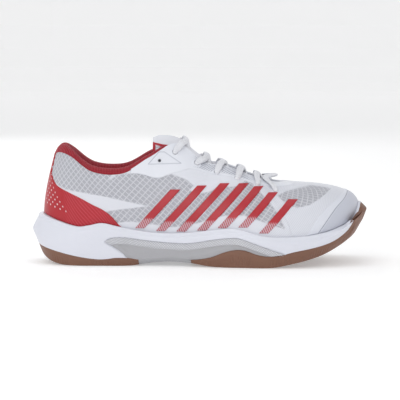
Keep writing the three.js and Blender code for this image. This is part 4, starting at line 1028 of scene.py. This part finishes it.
# The hollows between stitches are painted darker red, as shade.
coloured(knit, mixed(knit, step_between(knit, stitch, 0.0, 5.0), srgb("#981526"), shade))
bumped(knit, sum_of(knit, "ADD", stitch, noise(knit, 1500, 2)), 0.00012)
pad_foam = finish("open_foam", 0.95)
coloured(pad_foam, mixed(pad_foam, noise(pad_foam, 500, 4), srgb("#c9c9c4"), srgb("#e6e6e0")))
bumped(pad_foam, noise(pad_foam, 900, 4), 0.0004)

collar_s = np.linspace(-5.55, 5.55, 420)
collar_ring = collar_s % round_shoe
pad_depth = np.interp(np.abs(collar_s), (0, 3.6, 5.5), (6.5, 6.5, 1.3))
# thickness of the upper with the air behind it, of the heel counter, and of the air between pieces
upper_thickness, counter_thickness, air_gap = 1.55, 1.4, 0.35
foam_from = 0.6
rim = upper(collar_ring, 1.0)
rim_up = rim - upper(collar_ring, 0.94)
rim_up /= np.linalg.norm(rim_up, axis=-1, keepdims=True)
rim_out = upper_normal(collar_ring, 0.97)


def easing(share):
    """Smooth step from 0 to 1."""
    return share * share * (3 - 2 * share)


def roll(radius, centre, angles, lift):
    """Points of the rolled edge round each rib's rim: an arc of this radius about a centre inward."""
    a = np.radians(angles)[None, :, None]
    radius, centre = radius[:, None, None], centre[:, None, None]
    level = rim_out[:, None] * (centre + radius * np.cos(a))
    return (rim + rim_up * lift)[:, None] + level + rim_up[:, None] * radius * np.sin(a)


def collar_face(depth_beyond, rows):
    """Face on the inside of the shoe at a depth beyond the foam, down the rows of t."""
    t = rows[None] + 0 * collar_ring[:, None]
    foam_here = pad_depth[:, None] * (0.4 + 0.6 * easing(np.clip((t - foam_from) / 0.3, 0, 1)))
    over_upper, over_counter = 1.9, upper_thickness + counter_thickness + 0.7
    backing = np.where(np.abs(collar_s) < 4.6, over_counter, over_upper)[:, None]
    depth = np.maximum(backing, over_upper + np.where(t > foam_from, foam_here, 0))
    depth = np.stack([smoothed(row, np.ones(9) / 9) for row in depth])
    return off_upper(collar_ring[:, None], t, -(depth + depth_beyond))


lining_rows = np.linspace(0.93, 0.16, 44)
outer_radius = (upper_thickness + pad_depth + air_gap + 1) / 2 + air_gap
arc = np.linspace(-4, 170, 34)
binding_depth = np.interp(np.abs(collar_s), (0, 1.2, 3.5, 5.55), (0.075, 0.05, 0.03, 0.02))
binding_t = 1 - binding_depth[:, None] * np.linspace(1, 0.1, 8)[None]
binding_out = 0.75 * np.sqrt(np.linspace(0.05, 1, 8))[None] + 0 * binding_t
lining_shown = np.concatenate([
    off_upper(collar_ring[:, None], binding_t, binding_out),
    roll(outer_radius, air_gap - outer_radius, arc, air_gap),
    collar_face(1.0, lining_rows),
], 1)
lining_back = np.concatenate([
    off_upper(collar_ring[:, None], binding_t, 0.02 * binding_out),
    roll(outer_radius - 0.9, air_gap - outer_radius, arc, air_gap),
    collar_face(0.1, lining_rows),
], 1)
for face in (lining_shown, lining_back):
    for section in face:
        section[4:] = np.stack([smoothed(way, np.array([1, 2, 3, 2, 1]) / 9) for way in section.T], 1)[4:]
points, faces = two_faced(lining_shown, lining_back)
lining = make_piece("collar_knit", points, faces[:, ::-1], [knit],
                    flat=np.tile(unrolled(lining_shown), (2, 1)))
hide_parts("collar_lining")

foam_radius, foam_depth = pad_depth / 2 - 0.25, 1.8
foam_roll = roll(foam_radius, -foam_depth - foam_radius, np.linspace(40, 160, 16), 0.1)
front_rows = np.linspace(0.68, 0.94, 14)[None] + 0 * collar_ring[:, None]
foam_front = off_upper(collar_ring[:, None], front_rows, np.full_like(front_rows, -foam_depth))
foam_back = collar_face(-0.7, np.linspace(0.93, 0.68, 16))
foam_section = np.concatenate([foam_front, foam_roll, foam_back], 1)
half = foam_section.shape[1] // 2
points, faces = two_faced(foam_section[:, :half], foam_section[:, : half - 1 : -1])
collar_pad = make_piece("collar_pad", points, faces, [pad_foam])
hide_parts("collar_foam")


# Tongue: padded white mesh on a red lining, hinged across the throat. A soft pad fills the middle of
# its upper half, with a red stripe down each side of it, and a red binding runs round its upper end.
tongue_back, tongue_front = 103, 219
tongue_top = through((104, 106), (115, 106), (124, 104), (132, 98.5), (140, 92.5), (150, 86.6), (165, 80),
                     (180, 73.8), (195, 68), (208, 64), (219, 63.6))
tongue_half = through((104, 19), (115, 19.5), (126, 20.5), (140, 23.5), (165, 23.5), (180, 21.5), (195, 18),
                      (208, 13), (219, 10))
tongue_drop = through((104, 17), (126, 20), (150, 19), (165, 16), (180, 12), (195, 8), (208, 3), (219, 1.5))


def tongue_height(x, y):
    """The tongue's upper face: a ridge line along the instep, falling away to both sides."""
    return tongue_top(x) - tongue_drop(x) * np.abs(y / tongue_half(x)) ** 2


def tongue_puff(x, y):
    """0 to 1: how far the pad in the tongue's upper half raises its face."""
    fading = np.clip((x - tongue_back) / 6, 0, 1) * np.clip((150 - x) / 25, 0, 1)
    return easing(fading) * np.sqrt(np.clip(1 - (np.abs(y) / 13.5) ** 4, 0, 1))


def tongue_grid(columns, across, depth, puff=0.0, spread=1.0):
    """A ply of the tongue at a depth under the upper face, puffed where the pad is."""
    x = np.linspace(tongue_back, tongue_front, columns)[:, None] + np.zeros((1, across))
    share = np.linspace(-1, 1, across)[None]
    corner = 1 - 0.22 * np.clip((tongue_back + 9 - x) / 9, 0, 1) ** 2
    y = share * tongue_half(x) * spread * corner
    return np.stack([x, y, tongue_height(x, y) - depth + puff * tongue_puff(x, y)], -1)


tongue_mesh = finish("tongue_mesh", 0.8, Sheen_Weight=0.15)
u, v = flat_plan(tongue_mesh)
pores_and_shade = round_holes(tongue_mesh, u, v, 2.3, 0.55)
pores_and_shade = sum_of(tongue_mesh, "MULTIPLY", pores_and_shade, mark_of(tongue_mesh, "mesh"))
shade = mixed(tongue_mesh, noise(tongue_mesh, 90, 3), srgb("#d9dae1"), srgb("#e3e4ea"))
# The tongue's pores are painted darker, as shade in the holes.
shade = mixed(tongue_mesh, pores_and_shade, shade, srgb("#a9a8b4"))
piping = mark_of(tongue_mesh, "piping")
coloured(tongue_mesh, mixed(tongue_mesh, piping, shade, srgb("#b01a2b")))
bumped(tongue_mesh, sum_of(tongue_mesh, "SUBTRACT", noise(tongue_mesh, 1000, 3), pores_and_shade), 0.0002)

# depths under the tongue's upper face of its cover's back, its pad and its lining; the pad's puff
cover_back, pad_span, lining_span, pad_puff = 1.3, (1.6, 3.9), (4.3, 5.6), 1.6
face = tongue_grid(250, 110, 0, puff=pad_puff)
from_ridge = np.abs(np.linspace(-1, 1, 110))[None] + 0 * face[..., 0]
upper_half = np.clip((152 - face[..., 0]) / 4, 0, 1)
stripe = np.clip(1 - (np.abs(from_ridge - 0.66) - 0.03) / 0.02, 0, 1) * upper_half
binding = np.clip((tongue_back + 2.6 - face[..., 0]) / 0.5, 0, 1) * np.clip((from_ridge - 0.6) / 0.03, 0, 1)
binding = np.maximum(binding, np.clip((from_ridge - 0.93) / 0.02, 0, 1) * upper_half)
piping_here = np.maximum(stripe, binding)
beside_pad = np.clip((from_ridge - 0.7) / 0.05, 0, 1) * upper_half * (1 - binding)
face[..., 2] += 0.5 * piping_here - 0.35 * beside_pad
mesh_here = np.clip(1 - upper_half * np.clip((0.64 - from_ridge) / 0.02, 0, 1), 0, 1)
points, faces = two_faced(face, tongue_grid(250, 110, cover_back))
tongue = make_piece("tongue_cover", points, faces, [tongue_mesh], body="tongue",
                    flat=np.tile(unrolled(face), (2, 1)),
                    marks={"piping": np.tile(piping_here.ravel(), 2),
                           "mesh": np.tile(mesh_here.ravel(), 2)})
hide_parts("tongue_face")
points, faces = two_faced(tongue_grid(120, 50, pad_span[0], puff=1.2, spread=0.97),
                          tongue_grid(120, 50, pad_span[1], spread=0.97))
tongue_pad = make_piece("tongue_pad", points, faces, [pad_foam], body="tongue")
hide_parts("tongue_foam")
under = tongue_grid(120, 50, lining_span[0])
points, faces = two_faced(under, tongue_grid(120, 50, lining_span[1]))
tongue_under = make_piece("tongue_lining", points, faces, [knit], body="tongue",
                          flat=np.tile(unrolled(under), (2, 1)))
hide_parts("tongue_lining")


# Lace: one flat woven polyester lace. It runs straight across the lowest row, then criss-crosses up
# to the sixth, over each edge and down into the next eyelet. Both ends are tucked inside the shoe.
woven = finish("woven_lace", 0.8, Sheen_Weight=0.3)
u, v = flat_plan(woven)
strand_a = sum_of(woven, "SINE", sum_of(woven, "MULTIPLY", sum_of(woven, "ADD", u, v), 4.2))
strand_b = sum_of(woven, "SINE", sum_of(woven, "MULTIPLY", sum_of(woven, "SUBTRACT", u, v), 4.2))
weave = sum_of(woven, "MULTIPLY", strand_a, strand_b)
shade = mixed(woven, noise(woven, 120, 3), srgb("#e6e7ec"), srgb("#f0f1f5"))
# The weave's troughs are painted grey, as shade.
coloured(woven, mixed(woven, step_between(woven, weave, -0.2, -0.9), shade, srgb("#c3c5d0")))
bumped(woven, weave, 0.00012)

# how far out of the upper the lace's middle line is on top of it, under it and in a hole
lace_over, lace_under, hole_depth = 2.7, -3.2, 0.6
laced_rows = 6
opposite = {"lateral": "medial", "medial": "lateral"}


def hole_at(side_name, i, depth):
    """Middle of an eyelet, at a depth out of the upper."""
    s, t = eyelet_places[side_name][0][i], eyelet_places[side_name][1][i]
    return off_upper(s, t, depth)


def hole_normal(side_name, i):
    """The upper's normal at an eyelet."""
    return upper_normal(eyelet_places[side_name][0][i], eyelet_places[side_name][1][i])


def rim_spot(side_name, i, share, depth, t):
    """Point by the rim a share of the way from eyelet i to the next, and the normal there."""
    s = eyelet_places[side_name][0]
    s_here = s[i] + (s[min(i + 1, laced_rows)] - s[i]) * share
    return off_upper(s_here, t, depth), upper_normal(s_here, t)


def on_tongue(x, y, lift):
    """A point of the lace's middle line lying on the tongue, and the tongue's normal there."""
    slope_x = tongue_height(x + 0.5, y) - tongue_height(x - 0.5, y)
    slope_y = tongue_height(x, y + 0.5) - tongue_height(x, y - 0.5)
    out = np.array([-slope_x, -slope_y, 1.0])
    out /= np.linalg.norm(out)
    height = tongue_height(x, y) + lift + pad_puff * tongue_puff(x, y)
    return np.array([x, y, height]) + out * 1.5, out


def down_from_rim(side_name, i):
    """Unit direction on the surface from the rim to an eyelet."""
    way = hole_at(side_name, i, 0) - rim_spot(side_name, i, 0, 0, 1.0)[0]
    return way / np.linalg.norm(way)


def half_lace(first):
    """Middle line from the lowest eyelet to the end: points, flat-side directions, half widths."""
    path = []
    rim, rim_out = rim_spot(first, 0, 0, lace_over, 0.97)
    path.append((rim, rim_out, 3.0))
    path.append((hole_at(first, 0, lace_over) * 0.7 + rim * 0.3, rim_out, 2.6))
    path.append((hole_at(first, 0, hole_depth), down_from_rim(first, 0), 2.0))
    turn = 1.0
    for i in range(laced_rows - 1):
        here = first if i % 2 == 0 else opposite[first]
        there = opposite[here]
        start, start_out = rim_spot(here, i, 0.35, lace_under, 0.955)
        end, end_out = rim_spot(there, i, 0.75, lace_over, 0.985)
        under_way = turn * (down_from_rim(here, i) - hole_normal(here, i))
        path.append((hole_at(here, i, lace_under), under_way, 2.0))
        path.append((start, -turn * start_out, 2.7))
        for share, lift in ((0.13, 0), (0.3, 0), (0.5, 2.6 if here == "lateral" else 0), (0.75, 1.2)):
            spot, spot_out = on_tongue(*(start + (end - start) * share)[:2], lift)
            if share == 0.75:
                spot[2] = max(spot[2], end[2] + 0.2)
            path.append((spot, -turn * spot_out, 3.0))
        path.append((end, -turn * end_out, 3.0))
        path.append((hole_at(there, i + 1, lace_over) * 0.7 + end * 0.3, -turn * end_out, 2.8))
        path.append((hole_at(there, i + 1, hole_depth), -turn * down_from_rim(there, i + 1), 2.0))
        turn = -turn
    last, top = opposite[first] if laced_rows % 2 == 0 else first, laced_rows - 1
    sign = -1 if last == "lateral" else 1
    under_way = turn * (down_from_rim(last, top) - hole_normal(last, top))
    path.append((hole_at(last, top, lace_under), under_way, 2.0))
    tucked = ((123, 23, 88), (127, 26.4, 77), (131, 30, 62), (134, 30.5, 48), (138, 29, 35),
              (145, 26, 28.6), (157, 24, 26.6), (172, 22, 25.6), (188, 19.5, 25.2), (202, 17.5, 25.2),
              (213, 16.5, 25.8))
    for x, y, z in tucked:
        flat_way = np.array([0, -turn * sign, 0.0]) if z > 40 else np.array([0.0, -turn * sign * 0.3, 1.0])
        path.append((np.array([x, sign * (y - (2 if sign > 0 and z < 40 else 0)), z + 0.6]), flat_way, 2.3))
    return path


def smooth_path(points, per_span):
    """Cubics through the points, with knots spaced by the square root of the distance."""
    p = np.vstack([2 * points[0] - points[1], points, 2 * points[-1] - points[-2]])
    d = np.sqrt(np.linalg.norm(np.diff(p, axis=0), axis=1))[:, None]
    rate = np.diff(p, axis=0) / d
    across = (p[2:] - p[:-2]) / (d[1:] + d[:-1])
    slope = rate[:-1] - across + rate[1:]
    m0, m1 = slope[:-1] * d[1:-1], slope[1:] * d[1:-1]
    t = np.linspace(0, 1, per_span, endpoint=False)[None, :, None]
    here, after, m0, m1 = points[:-1, None], points[1:, None], m0[:, None], m1[:, None]
    spans = ((2 * t**3 - 3 * t**2 + 1) * here + (t**3 - 2 * t**2 + t) * m0
             + (3 * t**2 - 2 * t**3) * after + (t**3 - t**2) * m1)
    return np.vstack([spans.reshape(-1, 3), points[-1]])


def cross_sections(line, sideways, flat_side, half_width, half_thick):
    """Oval rings round a line, squared off a little, closed by a point at each end."""
    turn = np.linspace(0, 2 * np.pi, 25)[:-1]
    wide = np.sign(np.cos(turn)) * np.abs(np.cos(turn)) ** 0.8
    thick = np.sign(np.sin(turn)) * np.abs(np.sin(turn)) ** 0.8
    rings = (line[:, None] + sideways[:, None] * (half_width[:, None] * wide)[..., None]
             + flat_side[:, None] * (half_thick[:, None] * thick)[..., None])
    ends = np.ones((1, len(turn), 1))
    rings = np.concatenate([line[:1, None] * ends, rings, line[-1:, None] * ends])
    return rings, grid_faces(*rings.shape[:2], round_columns=True)


medial_half, lateral_half = half_lace("medial"), half_lace("lateral")
bar_ends = hole_at("lateral", 0, 0), hole_at("medial", 0, 0)
bar_height = rim_spot("lateral", 0, 0, lace_over, 0.97)[0][2] + 1.4
bar_middle = np.array([bar_ends[0][0], (bar_ends[0][1] + bar_ends[1][1]) / 2, bar_height])
route = medial_half[::-1] + [(bar_middle, np.array([0, 0, 1.0]), 3.0)] + lateral_half
per_span = 14
line = smooth_path(np.array([place for place, _, _ in route]), per_span)
knot, knots = np.arange(len(line)) / per_span, np.arange(len(route))
flat_side = np.stack([np.interp(knot, knots, [way[j] for _, way, _ in route]) for j in range(3)], -1)
half_width = np.interp(knot, knots, [width for _, _, width in route])
from_end = np.minimum(np.arange(len(line)), np.arange(len(line))[::-1])
half_width *= np.clip(0.55 + 0.05 * from_end, 0, 1)
half_thick = 1.25 + 0.6 * np.clip((2.6 - half_width) / 0.6, 0, 1)
half_thick *= np.clip(0.8 + 0.05 * from_end, 0, 1)
tangent = np.gradient(line, axis=0)
tangent /= np.linalg.norm(tangent, axis=1, keepdims=True)
flat_side -= tangent * (flat_side * tangent).sum(1, keepdims=True)
flat_side /= np.linalg.norm(flat_side, axis=1, keepdims=True)
rings, faces = cross_sections(line, np.cross(tangent, flat_side), flat_side, half_width, half_thick)
lace = make_piece("lace_cord", rings.reshape(-1, 3), faces, [woven], flat=unrolled(rings), weld=True)
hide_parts("lace")

aglet_film = finish("aglet_film", 0.15, Coat_Weight=0.6, Coat_Roughness=0.1)
coloured(aglet_film, mixed(aglet_film, noise(aglet_film, 200, 2), srgb("#dfe2e6"), srgb("#f3f4f6")))
bumped(aglet_film, noise(aglet_film, 400, 2), 0.00005)
aglet_gap, aglet_length, aglet_rings = 0.35, 17.6, 40
for near, tip in ((line[1], line[0]), (line[-2], line[-1])):
    along = (tip - near) / np.linalg.norm(tip - near)
    share = np.linspace(0, 1, aglet_rings)
    shaft = tip + along * aglet_gap + along * aglet_length * share[:, None]
    side = np.cross(along, [0, 0, 1.0])
    side /= np.linalg.norm(side)
    width = 1.35 * np.sqrt(1 - np.clip(np.abs(share - 0.5) * 2 - 0.93, 0, 0.07) / 0.07 * 0.6)
    side, square = (np.tile(way, (aglet_rings, 1)) for way in (side, np.cross(side, along)))
    rings, faces = cross_sections(shaft, side, square, width, width)
    side_name = "lateral" if tip[1] < 0 else "medial"
    aglet = make_piece(f"lace_tip_{side_name}", rings.reshape(-1, 3), faces, [aglet_film], weld=True)
    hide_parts(f"aglet_{side_name}")


# Insole: a removable foam insole, covered in knitted fabric, which follows the bed of the shoe and
# turns up round the heel.
insole_cloth = finish("insole_cloth", 0.85, Sheen_Weight=0.3)
u, v = flat_plan(insole_cloth)
wale = sum_of(insole_cloth, "SINE", sum_of(insole_cloth, "MULTIPLY", u, 5.2))
course = sum_of(insole_cloth, "SINE", sum_of(insole_cloth, "MULTIPLY", v, 5.2))
loops = sum_of(insole_cloth, "MULTIPLY", wale, course)
shade = mixed(insole_cloth, noise(insole_cloth, 80, 3), srgb("#c3c5cc"), srgb("#d2d4da"))
# Painted shade: the hollows between the loops are darker.
shade_between_loops = step_between(insole_cloth, loops, 0.2, -0.8)
coloured(insole_cloth, mixed(insole_cloth, shade_between_loops, shade, srgb("#a9acb6")))
bumped(insole_cloth, sum_of(insole_cloth, "ADD", loops, noise(insole_cloth, 900, 2)), 0.00015)

k = last_station * (0.5 - 0.5 * np.cos(np.pi * np.linspace(0, 1, 130)))
turn_up = through((13, 5), (60, 4), (100, 3), (150, 1), (272, 0))
rearward = np.clip((8 - k) / 2, 0, 1)
lining_thickness = 1
inset = 1.95 + rearward * (counter_thickness + lining_thickness + 0.75)


board_thickness, insole_thickness = 1.6, 4


def bed_outline(ring_s):
    """Edge of the insole: the foot of each rib, moved in square to the outline."""
    p = upper(ring_s, 0.0)
    ahead = upper((ring_s + 0.02) % round_shoe, 0.0) - upper((ring_s - 0.02) % round_shoe, 0.0)
    square = np.stack([-ahead[:, 1], ahead[:, 0], np.zeros(len(p))], -1)
    square /= np.linalg.norm(square, axis=1, keepdims=True)
    middle = np.array([140.0, 0.0, 0.0])
    square *= np.sign((square * (p - middle)).sum(1))[:, None]
    return p - square * inset[:, None]


outer_edge, inner_edge = bed_outline(k), bed_outline((round_shoe - k) % round_shoe)
share = np.linspace(0, 1, 60)[None, :, None]
bed = outer_edge[:, None] * (1 - share) + inner_edge[:, None] * share
lip = np.abs(share[..., 0] * 2 - 1) ** 5
floor_z = foot_bed(bed[..., 0]) + board_thickness + air_gap
top_face, under_face = bed.copy(), bed.copy()
top_face[..., 2] = floor_z + insole_thickness + turn_up(bed[..., 0]) * (0.08 + 0.92 * lip)
under_face[..., 2] = floor_z
points, faces = two_faced(top_face, under_face)
insole = make_piece("insole", points, faces[:, ::-1], [insole_cloth],
                    flat=np.tile(top_face[..., :2].reshape(-1, 2), (2, 1)), weld=True)
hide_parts("sockliner")


# Hidden inside the shoe: the fibre board that the upper is lasted on, the stiff plastic heel cup and
# the gel puck under the heel. They keep the frame's plain moulded and cut shapes.
fibre_board = finish("fibre_board", 0.9)
fibres = noise(fibre_board, 300, 5, (1, 6, 1))
coloured(fibre_board, mixed(fibre_board, fibres, srgb("#d9d4c8"), srgb("#f0ede4")))
bumped(fibre_board, noise(fibre_board, 700, 3), 0.0002)
heel_cup = finish("heel_cup_plastic", 0.5)
coloured(heel_cup, mixed(heel_cup, noise(heel_cup, 60, 4), srgb("#cfcfca"), srgb("#e3e3df")))
bumped(heel_cup, noise(heel_cup, 500, 2), 0.0001)
gel = finish("gel", 0.2, Coat_Weight=0.4)
coloured(gel, mixed(gel, noise(gel, 40, 3), srgb("#a9c3cf"), srgb("#c3dbe4")))
bumped(gel, noise(gel, 120, 2), 0.0002)
hidden = (("lasting_board", fibre_board), ("heel_counter", heel_cup), ("heel_cushion_insert", gel))
for node, material in hidden:
    for slot in bpy.data.objects[node].material_slots:
        slot.material = material
